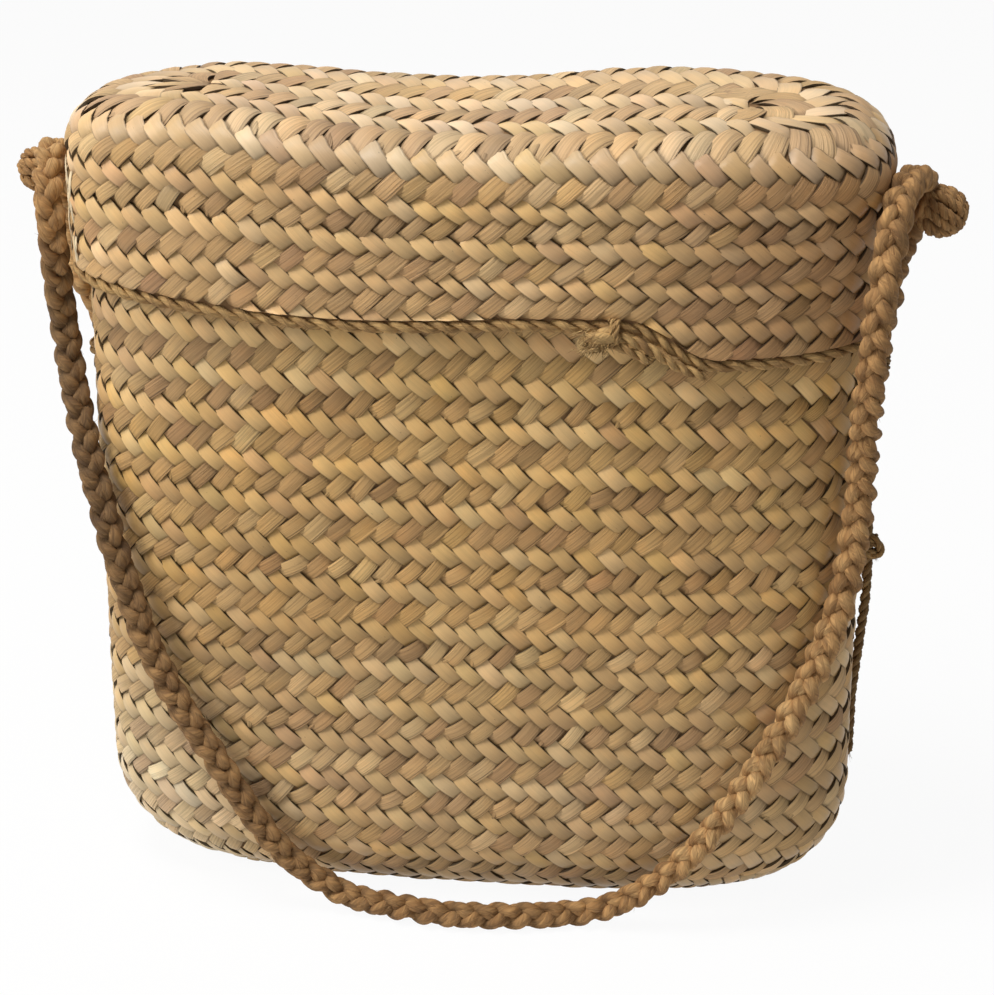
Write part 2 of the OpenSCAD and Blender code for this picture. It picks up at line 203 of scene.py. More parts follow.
def leaf_finish():
    """Dry palm leaf: long streaks and fine fibres on the matt side. Painted shade darkens it where it tucks
    under, towards its lower end, along its edges and in its creases; a painted highlight lies along the matt
    side's upper edge.
    """
    leaf = Finish("palm leaf")
    colour = leaf.read("leaf_colour", 0)
    run = leaf.read("leaf_run", 1)
    spot = leaf.read("leaf_spot", 1)
    matt = leaf.read("leaf_matt", 2)
    streak = leaf.grain(run, 0.035, 0.55, 3.0)
    fibre = leaf.grain(run, 0.02, 1.35, roughness=0.65)
    fine = leaf.grain(run, 0.05, 3.6)
    cloud = leaf.grain(run, 0.12, 0.12)
    groove = leaf.band(fibre, 0.36, 0.58)
    length, width, number = leaf.parts(spot)
    chance = leaf.node("ShaderNodeTexWhiteNoise", {"noise_dimensions": "1D"}, {"W": number})
    # painted shade: darker where the leaf tucks under its neighbours, and towards its lower end
    under = leaf.band(abs(length), 0.80, 1.25)
    end_shade = leaf.band(length, -0.35, 1.05)
    bend = 0.62 + 0.10 * chance + 0.10 * (cloud - 0.5)
    # a fold's crease: a groove in the bump, darkened as painted shade
    crease = leaf.band(width - bend, -0.07, 0.0) * leaf.band(width - bend, 0.15, 0.07)
    crease = crease * leaf.band(chance, 0.30, 0.42) * matt
    # a painted highlight along the matt leaves' upper edge, and painted shade along both long edges
    edge_highlight = leaf.band(width, -0.76, -0.94) * matt
    rim = leaf.band(abs(width), 0.85, 0.97)
    speck = leaf.band(leaf.grain(run, 0.5, 0.9, 1.0), 0.76, 0.82)
    share = 0.80 + 0.26 * streak + 0.16 * cloud + 0.06 * fine
    share = share * (1 - matt * (1 - groove) * 0.28) * (1 - under * 0.42) * (1 - speck * 0.35)
    share = share * (1.07 - end_shade * (0.26 - 0.10 * matt)) * (1 - crease * 0.48) * (1 + edge_highlight * 0.26)
    share = share * (1 - rim * 0.42)
    warm = leaf.blend(leaf.band(cloud, 0.45, 0.75, 0.0, 0.3), colour, leaf.scaled(colour, (1.05, 0.93, 0.80)))
    height = matt * groove * 0.7 + fine * (0.15 + 0.2 * matt) + streak * 0.4 - crease * 1.2
    normal = leaf.node("ShaderNodeBump", {}, {"Strength": 0.45, "Distance": 0.0006, "Height": height})
    return leaf.skin(
        Base_Color=leaf.dimmed(warm, share), Roughness=0.34 + 0.28 * matt + 0.14 * streak, Normal=normal,
        Specular_IOR_Level=0.36,
    )


def shade_lining_finish():
    """The strip's inside, coloured dark brown as painted shade, seen through the gaps between leaves."""
    lining = Finish("painted shade lining")
    place = lining.node("ShaderNodeTexCoord", {}, {}, out=3)
    grain = lining.noise(place, 320.0, 3.0)
    colour = lining.blend(grain, (*tone(104, 76, 46), 1), (*tone(156, 120, 80), 1))
    return lining.skin(Base_Color=colour, Roughness=0.85 + 0.1 * grain)


def yarn_finish(name, light, dark, twist, lines):
    """Twisted plant fibre: strands of fibre wind along the yarn."""
    yarn = Finish(name)
    run = yarn.read("yarn_run", 1)
    shade = yarn.read("yarn_shade", 2)
    along, around, number = yarn.parts(run)
    winding = (around + along * twist) * lines
    wound = yarn.node("ShaderNodeCombineXYZ", {}, {0: along * 0.10, 1: winding, 2: number})
    fibre = yarn.noise(wound, 1.0, 3.0, 0.6)
    coarse = yarn.grain(wound, 0.9, 0.35)
    patch = yarn.grain(run, 0.035, 0.0)
    groove = yarn.band(fibre, 0.3, 0.62)
    mixed = yarn.blend(yarn.band(coarse * 0.5 + patch * 0.5, 0.36, 0.62), (*dark, 1), (*light, 1))
    mixed = yarn.blend(yarn.band(shade, 0.85, 1.25), mixed, yarn.scaled(mixed, (0.92, 1.03, 1.17)))
    share = (0.66 + 0.4 * groove) * shade
    height = groove + coarse * 0.6
    normal = yarn.node("ShaderNodeBump", {}, {"Strength": 0.55, "Distance": 0.0007, "Height": height})
    return yarn.skin(Base_Color=yarn.dimmed(mixed, share), Roughness=0.72 + 0.2 * fibre, Normal=normal)


LEAF = leaf_finish()
SHADE_LINING = shade_lining_finish()
ROPE = yarn_finish("strap rope", tone(198, 152, 96), tone(150, 108, 62), 0.42, 1.5)
CORD = yarn_finish("twisted cord", tone(196, 156, 98), tone(148, 110, 64), 0.55, 1.3)


# Meshes from point and face lists

# How values at the points are stored, by how many numbers each has
NOTE_KINDS = {1: ("FLOAT", "value"), 3: ("FLOAT_VECTOR", "vector"), 4: ("FLOAT_COLOR", "color")}


def make_piece(name, points, faces, finish, **notes):
    """A mesh piece from points in millimetres; notes are values carried at each point."""
    points = np.asarray(points, float)
    even = isinstance(faces, np.ndarray)
    sizes = np.full(len(faces), faces.shape[1]) if even else np.array([len(face) for face in faces])
    corners = faces.ravel() if even else np.concatenate([np.asarray(face) for face in faces])
    mesh = bpy.data.meshes.new(name)
    mesh.vertices.add(len(points))
    mesh.vertices.foreach_set("co", (points * MM).astype(np.float32).ravel())
    mesh.loops.add(len(corners))
    mesh.loops.foreach_set("vertex_index", corners.astype(np.int32))
    mesh.polygons.add(len(sizes))
    mesh.polygons.foreach_set("loop_start", np.concatenate([[0], np.cumsum(sizes)[:-1]]).astype(np.int32))
    mesh.polygons.foreach_set("use_smooth", np.ones(len(sizes), bool))
    mesh.update(calc_edges=True)
    for note, values in notes.items():
        values = np.asarray(values, np.float32)
        kind, field = NOTE_KINDS[values.size // len(values)]
        mesh.attributes.new(note, kind, "POINT").data.foreach_set(field, values.ravel())
    mesh.validate()
    mesh.materials.append(finish)
    piece = bpy.data.objects.new(name, mesh)
    bpy.context.collection.objects.link(piece)
    return piece


def grid_faces(count, rows, cols):
    """Quads of many equal grids of points."""
    i, j = np.meshgrid(np.arange(rows - 1), np.arange(cols - 1), indexing="ij")
    first = (i * cols + j).ravel()
    quad = np.stack([first, first + cols, first + cols + 1, first + 1], 1)
    return (quad[None] + (np.arange(count) * rows * cols)[:, None, None]).reshape(-1, 4)


def noted(*values):
    """Three values at each point of a grid, one row to a point."""
    return np.stack(np.broadcast_arrays(*values), -1).reshape(-1, 3)


def opaque(colours):
    """Colours with a fourth number for full cover."""
    return np.concatenate([colours, np.ones((len(colours), 1))], 1)


def unit(v):
    return v / np.maximum(np.linalg.norm(v, axis=-1, keepdims=True), 1e-9)


def pointing(side, top, turn):
    """Directions at angles round a line, from its two cross directions."""
    return side * np.cos(turn)[:, None] + top * np.sin(turn)[:, None]


def length_along(line):
    """How far along a line each of its points lies."""
    return np.concatenate([[0], np.cumsum(np.linalg.norm(np.diff(line, axis=0), axis=1))])


# The woven walls

def oval(half, turn):
    c, s = np.cos(turn), np.sin(turn)
    power = 2 / SQUARE
    return half[0] * np.sign(c) * np.abs(c) ** power, half[1] * np.sign(s) * np.abs(s) ** power


def eased(u):
    u = np.clip(u, 0, 1)
    return u * u * (3 - 2 * u)


def hollow(x, middle, half):
    return np.where(np.abs(x - middle) < half, np.cos(np.pi / 2 * (x - middle) / half) ** 2, 0)


def lowered(x, y):
    """The old lid's shape: a dipping top, a front edge that falls and a back edge that rises to the right."""
    back = BACK_RISE * (1 + y / LID[1]) / 2 * eased(x / RISE_REACH)
    front = FRONT_DROP * (1 - y / LID[1]) / 2 * (x + DROP_HALF) / (2 * DROP_HALF)
    droop = LEFT_DROOP * eased((DROOP_X - x) / DROOP_REACH)
    return back - front - droop - TOP_SAG * hollow(x, SAG_X, SAG_HALF)


def rim_at(x, y):
    level = RIM_H + RIM_END_RISE * (np.abs(x) / LID[0]) ** RIM_RISE_POWER
    dip = RIM_DIP * hollow(x, RIM_DIP_X, RIM_DIP_HALF)
    front = level - dip - RIM_STEP * eased((x - RIM_STEP_X) / RIM_STEP_W + 0.5)
    return np.where(y < 0, front, level - RIM_STEP * (x / LID[0] + 1) / 2)


# Halvings in the search for an oval's point
SEARCH_STEPS = 26


class Coil:
    """A strip wound round an oval: columns of leaves along the oval, bands of leaves up the side."""

    def __init__(self, half, spine, columns, level, seam=1000.0):
        self.half, self.spine, self.columns, self.level, self.seam = half, spine, columns, level, seam
        self.turns = np.linspace(0, 2 * np.pi, 7201)
        x, y = oval(half, self.turns)
        self.run = np.concatenate([[0], np.cumsum(np.hypot(np.diff(x), np.diff(y)))])

    def spot(self, c, h):
        """The point at column c and band h; past the middle seam it lies on the other side."""
        c, h = np.where(h > self.seam, -c, c), np.where(h > self.seam, 2 * self.seam - h, h)
        turn = np.interp((c % self.columns) / self.columns * self.run[-1], self.run, self.turns)
        x, y = oval(self.half, turn)
        mid = np.clip(x, -self.spine, self.spine)
        half_w, half_d, height = self.level(h)
        low, high = np.zeros_like(x), np.full_like(x, 1.3)
        for _ in range(SEARCH_STEPS):
            step = (low + high) / 2
            px, py = np.abs(mid + (x - mid) * step) / half_w, np.abs(y * step) / half_d
            outside = px ** SQUARE + py ** SQUARE > 1
            low, high = np.where(outside, low, step), np.where(outside, step, high)
        x, y = mid + (x - mid) * high, y * high
        return np.stack([x, y, height(x, y)], -1)

    def place(self, c, h, off):
        eps = 0.04
        along = self.spot(c + eps, h) - self.spot(c - eps, h)
        upward = self.spot(c, h + eps) - self.spot(c, h - eps)
        return self.spot(c, h) + unit(np.cross(along, upward)) * np.asarray(off)[..., None]

    def narrowing(self, c, h):
        """Width of a column against its width on the outline: less than 1 where the top's leaves fan in."""
        step = self.spot(c + 0.5, h) - self.spot(c - 0.5, h)
        return np.clip(np.linalg.norm(step, axis=-1) * self.columns / self.run[-1], 0.15, 1.0)


# Four bands of leaves make the strip's width
BAND = 9.83
# The way up the basket's rounded foot, by angle
FOOT_TURNS = np.linspace(0, np.pi / 2, 901)
FOOT_RUN = np.concatenate([[0], np.cumsum(np.hypot(
    (BELLY[1] - FOOT[1]) * np.diff(np.sin(FOOT_TURNS)), FOOT_RISE * np.diff(1 - np.cos(FOOT_TURNS))
))])
NECK_RUN = FOOT_RUN[-1] + NECK_H - FOOT_RISE


def basket_level(h):
    """Half sizes and height of the basket's oval at a band."""
    run = h * BAND
    k = np.interp(run, FOOT_RUN, FOOT_TURNS)
    under = np.minimum(run, 0)
    share = np.clip((run - FOOT_RUN[-1]) / (RIM_H - FOOT_RISE), 0, (NECK_H - FOOT_RISE) / (RIM_H - FOOT_RISE))
    neck = np.clip((run - NECK_RUN) / (MOUTH_H - NECK_H), 0, 1.05)
    half_w = FOOT[0] + (BELLY[0] - FOOT[0]) * np.sin(k) + under - END_LEAN * share
    half_d = FOOT[1] + (BELLY[1] - FOOT[1]) * np.sin(k) + under - FACE_LEAN * share
    half_w = half_w + (MOUTH[0] - half_w) * neck
    half_d = half_d + (MOUTH[1] - half_d) * neck
    flat = FOOT_RISE * (1 - np.cos(k)) + np.maximum(run - FOOT_RUN[-1], 0)
    return half_w, np.maximum(half_d, 0.5), lambda x, y: flat + neck * lowered(x, y)


# The lid's bands: up its side to the edge, over the edge to the crest and in to the top's middle seam
EDGE_BAND, CREST_BAND, TOP_BANDS = 6, 8, 3.5
SEAM_BAND = CREST_BAND + TOP_BANDS
SKIRT_BAND = (EDGE_H - RIM_H) / EDGE_BAND
CREST_INSET = EDGE_R * (1 - math.cos(CREST))


def lid_level(h):
    """Half sizes and height of the lid's oval at a band, from the rim over the edge to the middle seam."""
    turn = np.clip((h - EDGE_BAND) / (CREST_BAND - EDGE_BAND), 0, 1) * CREST
    top = np.clip((h - CREST_BAND) / TOP_BANDS, 0, 1)
    over = CREST_INSET + (LID[1] - 0.8 - CREST_INSET) * top
    inset = np.where(h > CREST_BAND, over, EDGE_R * (1 - np.cos(turn)))
    rise = EDGE_R * np.sqrt(np.maximum(1 - (1 - np.minimum(inset, EDGE_R) / EDGE_R) ** 2, 0))
    flat = RIM_H + np.minimum(h, EDGE_BAND) * SKIRT_BAND + np.where(h > EDGE_BAND, rise, 0)
    warp = np.clip(h / EDGE_BAND, 0, 1)
    return LID[0] - inset, LID[1] - inset, lambda x, y: flat + warp * lowered(x, y)


BASKET = Coil(BELLY, 92.0, 77, basket_level)
COVER = Coil(LID, LID[0] - LID[1], 79, lid_level, SEAM_BAND)

# Leaf colours: straw, gold, cream, pinkish brown, grey brown
LEAF_TONES = np.array([
    tone(206, 170, 116), tone(208, 170, 110), tone(213, 181, 131), tone(198, 160, 112), tone(194, 159, 108),
])
MATT_TONES = np.array([
    tone(191, 155, 104), tone(189, 152, 98), tone(202, 169, 119), tone(172, 136, 92), tone(181, 145, 98),
])
# How common each colour is, and the share of leaves that keep their strand's colour
STRAND_SHARE = 0.55
TONE_SHARES = np.array([0.55, 0.16, 0.16, 0.04, 0.09])
MATT_SHARES = np.array([0.44, 0.13, 0.17, 0.11, 0.15])
# The basket's strips differ in tint as painted light: greyer and bluer near the base, warmer above. Each row
# is a tint and how much lighter its smooth leaves are than its matt ones, also painted light: smooth leaves
# are darker than matt ones low down and lighter high up.
BASKET_STRIP_LIGHT = np.array([
    (1.0, 1.05, 1.20, -0.10), (0.96, 0.98, 1.08, -0.10), (0.93, 0.93, 0.98, -0.09), (0.95, 0.94, 0.93, -0.07),
    (0.98, 0.93, 0.84, -0.05), (0.97, 0.93, 0.84, -0.02), (1.0, 0.96, 0.85, 0.03), (0.99, 0.97, 0.88, 0.05),
    (1.0, 0.97, 0.88, 0.05), (0.98, 0.97, 0.92, 0.04),
])
# The lid's strips in the same way; the top's two strips are lighter and bluer as painted light
LID_STRIP_LIGHT = np.array([
    (0.98, 0.97, 1.02, 0.05), (1.01, 1.01, 1.07, 0.06), (1.06, 1.13, 1.40, 0.02), (1.07, 1.15, 1.46, 0.02),
])


# A leaf's edges go down this far, or to just above the wall, and are darkened as painted shade under its
# neighbours
HEM_DEPTH, HEM_CLEAR, HEM_SHADE = 1.4, 0.15, 0.2
# A leaf's usual form: its height off the wall, its arch and its lower edges in millimetres, how its edges and
# ends rise, how far it runs under its neighbours, how matt it is, how it narrows, twists and rounds off, how
# its arch is shaped, and if its edges reach down to the wall
LEAF_FORM = dict(
    lift=0.0, crown=1.1, edge=0.35, tilt=0.0, head=0.0, tail=0.0, reach=1.28, matt=0.0, taper=0.0, curl=0.0,
    tip=0.0, flat=0.9, hem=1.0,
)


class Leaves:
    """Visible leaves of a weave, each a short ribbon over its two neighbours and under them at its ends."""

    def __init__(self):
        self.rows = []

    def add(self, c, h, along, across, **more):
        """along and across are half vectors in columns and bands."""
        n = len(c)
        form = {**LEAF_FORM, **more}
        row = {key: np.broadcast_to(np.asarray(form[key], float), (n,)) for key in LEAF_FORM}
        row.update(c=c, h=h, along=along, across=across, colour=more["colour"])
        self.rows.append(row)

    def gather(self, key):
        return np.concatenate([row[key] for row in self.rows])

    def build(self, name, coil, grid, side=1.0, ground=None, floor_h=None, top_h=None, hems=True):
        c, h = self.gather("c"), self.gather("h")
        along, across = self.gather("along"), self.gather("across")
        value = {key: self.gather(key)[:, None, None] for key in LEAF_FORM}
        u = np.linspace(-1, 1, grid[0])[None, :, None] * value["reach"]
        v = np.linspace(-1, 1, grid[1])[None, None, :]
        round_end = np.clip((-u - 0.45) / (value["reach"] - 0.45), 0, 1) * value["tip"]
        shrink = (1 - value["taper"] * np.clip(np.abs(u) - 0.35, 0, 1)) * np.sqrt(1 - 0.97 * round_end ** 2.4)
        w = v * shrink
        cc, hh = (middle[:, None, None] + along[:, k, None, None] * u + across[:, k, None, None] * w
                  for k, middle in enumerate((c, h)))
        if floor_h is not None:
            hh = np.maximum(hh, floor_h(cc))
        if top_h is not None:
            hh = np.minimum(hh, top_h)
        arch = np.maximum(np.cos(np.pi / 2 * np.minimum(np.abs(u), 1)), 0) ** value["flat"]
        arch = arch - 1.3 * np.maximum(np.abs(u) - 1, 0)
        off = value["lift"] + value["crown"] * arch - value["edge"] * np.abs(v) ** 3 + value["tilt"] * v
        off = off + value["head"] * np.clip(-u, 0, 2) ** 2 + value["tail"] * np.clip(u, 0, 2) ** 2
        off = off + value["curl"] * v * u - 1.1 * round_end ** 4
        base = ground(hh) if ground is not None else np.zeros_like(off)
        off = off + base
        points = coil.place(cc, hh, side * off)
        n = len(c)
        tile = [coil.run[-1] / coil.columns, BAND]
        long_mm, wide_mm = (np.linalg.norm(way * tile, axis=1)[:, None, None] for way in (along, across))
        seed = (np.arange(n) * 7.31 % 211)[:, None, None]
        shape = cc.shape
        colour = np.broadcast_to(self.gather("colour")[:, None, None, :], shape + (3,)).reshape(-1, 3)
        faces = grid_faces(n, *grid)
        notes = dict(leaf_run=noted(u * long_mm, w * wide_mm, seed), leaf_spot=noted(u, v, seed),
                     leaf_colour=opaque(colour), leaf_matt=np.broadcast_to(value["matt"], shape).ravel())
        if hems:
            # a leaf's two long edges go down to the wall, so that no daylight shows under it
            has = self.gather("hem") > 0
            pick = np.arange(cc.size).reshape(shape)[has][:, :, [0, -1]].transpose(0, 2, 1)
            edge, bottom = off.ravel()[pick], base.ravel()[pick] + HEM_CLEAR
            low = coil.place(cc.ravel()[pick], hh.ravel()[pick],
                             side * np.maximum(edge - HEM_DEPTH, np.minimum(edge, bottom)))
            high = points.reshape(-1, 3)[pick]
            hem = np.stack([high, low], 3).reshape(-1, 3)
            faces = np.concatenate([faces, grid_faces(2 * int(has.sum()), grid[0], 2) + cc.size])
            twice = np.repeat(pick.ravel(), 2)
            notes = {key: np.concatenate([note, note[twice]]) for key, note in notes.items()}
            # the hems are darkened as painted shade
            notes["leaf_colour"][cc.size:, :3] *= HEM_SHADE
            points = np.concatenate([points.reshape(-1, 3), hem])
        return make_piece(name, points.reshape(-1, 3), faces, LEAF, **notes)


def leaf_colours(c, band, columns, smooth, strips, bright=1.0):
    """A leaf keeps its colour along its slant inside one strip, so tones repeat down the diagonals."""
    strip = np.floor(band / 4)
    strand = np.mod(np.floor(c + (band if smooth else -band)), columns)
    key = (strand * 12.9898 + strip * 78.233 + (0 if smooth else 37.719))
    pick = np.mod(np.sin(key) * 43758.5453, 1.0)
    kept = draw.random(len(c)) < STRAND_SHARE
    pick = np.where(kept, pick, draw.random(len(c)))
    shares = np.cumsum(TONE_SHARES if smooth else MATT_SHARES)
    which = np.searchsorted(shares, pick, side="right").clip(0, len(shares) - 1)
    tones = (LEAF_TONES if smooth else MATT_TONES)[which]
    kind = strips[np.clip(strip.astype(int), 0, len(strips) - 1)]
    tint = kind[:, :3] * (1 + kind[:, 3:] * (1 if smooth else -1))
    return tones * tint * (bright * draw.normal(1.0, 0.08, (len(c), 1))) * draw.normal(1.0, 0.01, (len(c), 3))


# Painted shade at the lid's right end takes these shares of the leaves' light; painted light low on the
# basket's left side, and a bluer tint high on it, add them
RIGHT_END_SHADE, LOW_LEFT_LIGHT, PALE_HIGH = np.array([(0.27, 0.35, 0.40), (0.20, 0.38, 0.68), (0.0, 0.04, 0.20)])


def place_tint(spot, lid):
    """Painted shade darkens the lid's right end and the middle of the basket's left side beside the strap;
    painted light pales the basket's lower left, and its upper left is bluer.
    """
    x, z = spot[:, :1], spot[:, 2:]
    if lid:
        return 1 - eased((x - 45) / 100) * eased((374 - z) / 18) * RIGHT_END_SHADE
    lit_low_left = eased((-x - 85) / 60) * eased((135 - z) / 60)
    mid_left_shade = eased((-x - 30) / 70) * eased((z - 90) / 40) * eased((235 - z) / 40)
    top_left = eased((-x - 60) / 70) * eased((z - 210) / 50)
    return (1 + lit_low_left * LOW_LEFT_LIGHT + top_left * PALE_HIGH) * (1 - 0.12 * mid_left_shade)


# A leaf's half vectors along and across it, in columns and bands
SLANT_DOWN = (np.array([0.5, -0.5]), np.array([0.25, 0.25]))
SLANT_UP = (np.array([0.5, 0.5]), np.array([0.25, -0.25]))


def turned(vectors, angle):
    c, s = np.cos(angle)[:, None], np.sin(angle)[:, None]
    x, y = vectors[:, :1], vectors[:, 1:]
    return np.concatenate([c * x - s * y, s * x + c * y], 1)


def even_row(coil, h, start):
    """Columns of a row that keeps one leaf to each column."""
    return np.arange(coil.columns) + start, np.ones(coil.columns)


def turning_row(coil, h, start):
    """Columns of a row on the lid's top: at its two turns fewer, wider leaves fill the shorter way round."""
    quarter = len(coil.turns) // 4 + 1
    turn_reach = np.interp(-coil.spine, -oval(coil.half, coil.turns[:quarter])[0], coil.run[:quarter])
    reach = turn_reach / coil.run[-1] * coil.columns
    fine = np.linspace(-reach - 2, coil.columns + reach + 2, 4001)
    share = coil.narrowing(fine, np.full(len(fine), h))
    way = np.concatenate([[0], np.cumsum((share[1:] + share[:-1]) / 2 * np.diff(fine))])
    places = []
    for middle in (0, coil.columns / 2):
        first = np.floor(middle - reach - start) + start
        last = np.ceil(middle + reach - start) + start
        low, high = np.interp([first, last], fine, way)
        count = max(int(round(high - low)), 2)
        places.append(np.interp(np.linspace(low, high, count + 1), way, fine))
        places.append(np.arange(last + 1, np.floor(middle + coil.columns / 2 - reach - start) + start))
    c = np.concatenate(places)
    gap = np.interp(c, fine, way)
    step = np.minimum(np.abs(np.diff(gap, append=gap[-1] + 1)), np.abs(np.diff(gap, prepend=gap[0] - 1)))
    return c, step.clip(0.8, 1.4) / np.interp(c, fine, share)


def weave(leaves, coil, band, seam=False, open_top=0.0, under=0.0, crown=1.1, plain=False, fold_share=0.45,
          bright=1.0, wide=1.03, short=0.92, strips=BASKET_STRIP_LIGHT, over=0.0, row=even_row, drop=0):
    """A band of leaves: even ones slant down to the right and are smooth, odd ones slant up and are matt."""
    smooth = band % 2 == 0
    c, widen = row(coil, band - drop + 0.5, 0.0 if smooth else 0.5)
    n = len(c)
    c = c + draw.normal(0, 0.025, n) * widen
    h = band - drop + 0.5 + draw.normal(0, 0.03, n)
    along0, across0 = SLANT_DOWN if smooth else SLANT_UP
    spin = draw.normal(0, 0.045, n)
    size = draw.normal(1.0, 0.035, n)
    girth = wide * draw.normal(1.0, 0.045, n).clip(0.88, 1.08)
    stretch = np.stack([widen, np.ones(n)], 1)
    along = turned(np.tile(along0, (n, 1)), spin) * size[:, None] * stretch
    across = turned(np.tile(across0, (n, 1)), spin) * girth[:, None] * stretch
    colour = leaf_colours(c, np.full(n, band), coil.columns, smooth, strips, bright)
    colour = colour * place_tint(coil.spot(c, h), coil is COVER)
    tall = crown * draw.normal(1.0, 0.10, n)
    lift = draw.normal(0, 0.10, n) + (1 - 1 / np.maximum(widen, 1)) * (0.1 + 0.5 * draw.random(n))
    if smooth:
        head = open_top * (0.6 + 0.7 * draw.random(n))
        # leaves that stand open at their top are larger, set higher and rounded off
        slide, grow, tip, reach = (-0.10, 1.08, 1.0, 1.12) if open_top else (0.0, 1.0, 0.0, 1.28)
        leaves.add(c + slide * along[:, 0], h + slide * along[:, 1], along * grow, across * grow,
                   colour=colour, crown=tall * 1.05, lift=lift, edge=0.36,
                   tilt=-0.12 + draw.normal(0, 0.07, n), head=head, tip=tip, reach=reach,
                   matt=0.06 + 0.1 * draw.random(n), curl=draw.normal(0, 0.08, n), flat=0.62)
        return
    if seam:
        short = short * draw.normal(1.0, 0.04, n)
        twist = draw.normal(0, 0.09, n)
        leaves.add(c, h + 0.02, turned(along, twist) * short[:, None], turned(across, twist) * 0.98,
                   colour=colour * 0.96, crown=tall * 1.08, lift=lift + 0.12 + over, edge=0.40,
                   tilt=0.12 + draw.normal(0, 0.15, n), head=-under, matt=0.55 + 0.45 * draw.random(n),
                   tail=-0.25, curl=draw.normal(0, 0.12, n), flat=0.7)
        if plain:
            return
        bit = draw.random(n) < 0.42
        m = int(bit.sum())
        spread = draw.normal(0, 0.05, (m, 2))
        # the bits are darkened as painted shade under the leaf ends
        leaves.add(c[bit] - 0.34 + spread[:, 0], h[bit] - 0.30 + spread[:, 1],
                   turned(along[bit], draw.normal(0.3, 0.5, m)) * 0.34,
                   turned(across[bit], draw.normal(0.3, 0.5, m)) * 0.30,
                   colour=colour[bit] * 0.84, crown=0.45, lift=0.5 + 0.25 * draw.random(m), edge=0.2,
                   matt=1.0, taper=0.5, curl=draw.normal(0, 0.3, m), hem=0)
        return
    leaves.add(c, h, along, across * (1 + 0.25 * over), colour=colour, crown=tall, lift=lift + 0.10 + over,
               edge=0.22, head=-under, tilt=0.10 + draw.normal(0, 0.10, n), matt=0.75 + 0.25 * draw.random(n),
               curl=draw.normal(0, 0.10, n), flat=0.55)
    if plain:
        return
    fold = draw.random(n) < fold_share
    m = int(fold.sum())
    inward = 0.70 + 0.25 * draw.random(m)
    narrow = 0.20 + 0.10 * draw.random(m)
    lean = draw.normal(0, 0.03, m)
    leaves.add(c[fold] + across[fold, 0] * inward, h[fold] + across[fold, 1] * inward,
               turned(along[fold], lean) * 0.98, across[fold] * narrow[:, None],
               colour=colour[fold] * draw.normal(0.95, 0.06, (m, 1)), crown=tall[fold] * 0.95,
               lift=lift[fold] + 0.24 + over, edge=0.22, tilt=0.05, matt=0.9, flat=0.55, hem=0)


MOUTH_BAND = 38.9
INSIDE_OFF = 1.9


def basket_ground(h):
    """Leaves under the base lie inside the flat face that the basket stands on."""
    return -1.7 * eased(1 - h / 3.0)


def inside_ground(h):
    """Leaves on the inside lie on the wall's inner face."""
    return np.full_like(h, INSIDE_OFF)


def weave_basket():
    walls = []
    for name, bands in (("basket_weave_low", range(0, 16)), ("basket_weave_high", range(16, 33))):
        outer = Leaves()
        for band in bands:
            weave(outer, BASKET, band, seam=band % 4 == 3, crown=1.5, over=0.16)
        walls.append(outer.build(name, BASKET, (9, 5), ground=basket_ground))
    hidden = Leaves()
    for band in [-2, -1] + list(range(33, 39)):
        weave(hidden, BASKET, band, seam=band % 4 == 3, crown=1.1, plain=True)
    rest = hidden.build("basket_neck_weave", BASKET, (7, 4), ground=basket_ground,
                        top_h=MOUTH_BAND, hems=False)
    inner = Leaves()
    for band in range(1, 39):
        weave(inner, BASKET, band, crown=1.0, plain=True, bright=0.9)
    inside = inner.build("basket_inside_weave", BASKET, (5, 3), side=-1.0, ground=inside_ground,
                         top_h=MOUTH_BAND, hems=False)
    return [*walls, rest, inside, mouth_edge()]


def mouth_edge():
    """The last row at the basket's mouth: each leaf folds over the edge and goes down inside."""
    h, rise = 38.72, 0.46
    n, long, wide = BASKET.columns, 11, 5
    k = np.arange(n)[:, None, None]
    s = np.linspace(-1, 1, long)[None, :, None]
    v = np.linspace(-1, 1, wide)[None, None, :]
    over = np.pi / 2 * (s + 1)
    size = draw.normal(1.0, 0.05, (n, 1, 1))
    c = k + 0.34 * s + 0.45 * size * v + draw.normal(0, 0.03, (n, 1, 1))
    up = h + rise * size * np.sin(over) ** 0.6 + 0 * v
    off = -0.75 + 2.35 * np.cos(over) + (0.35 - 0.5 * v ** 2) * np.cos(over) + 0.25 * v * np.sin(over)
    points = BASKET.place(c, up, off)
    seed = k * 3.7 % 97
    tones = LEAF_TONES[draw.integers(0, 3, n)] * BASKET_STRIP_LIGHT[-1, :3] * draw.normal(0.92, 0.10, (n, 1))
    colour = opaque(np.repeat(tones, long * wide, 0))
    return make_piece("basket_mouth_edge", points.reshape(-1, 3), grid_faces(n, long, wide), LEAF,
                      leaf_run=noted(6.0 * s, 5.0 * v, seed), leaf_spot=noted(0.7 * s, v, seed),
                      leaf_colour=colour, leaf_matt=np.full(len(colour), 0.3))


def sheet(name, coil, columns, levels, off, floor_h=None):
    """A plain wall behind the leaves, from a floor where one is given."""
    c, h = np.meshgrid(np.linspace(0, coil.columns, columns, endpoint=False), levels, indexing="ij")
    if floor_h is not None:
        low = floor_h(c)
        h = np.where(h < EDGE_BAND, low + (EDGE_BAND - low) * h / EDGE_BAND, h)
    points = coil.place(c, h, np.broadcast_to(off, c.shape))
    n, m = c.shape
    i, j = np.meshgrid(np.arange(n), np.arange(m - 1), indexing="ij")
    first, following = i * m + j, (i + 1) % n * m + j
    faces = np.stack([first, following, following + 1, first + 1], -1).reshape(-1, 4)
    return make_piece(name, points.reshape(-1, 3), faces, SHADE_LINING)


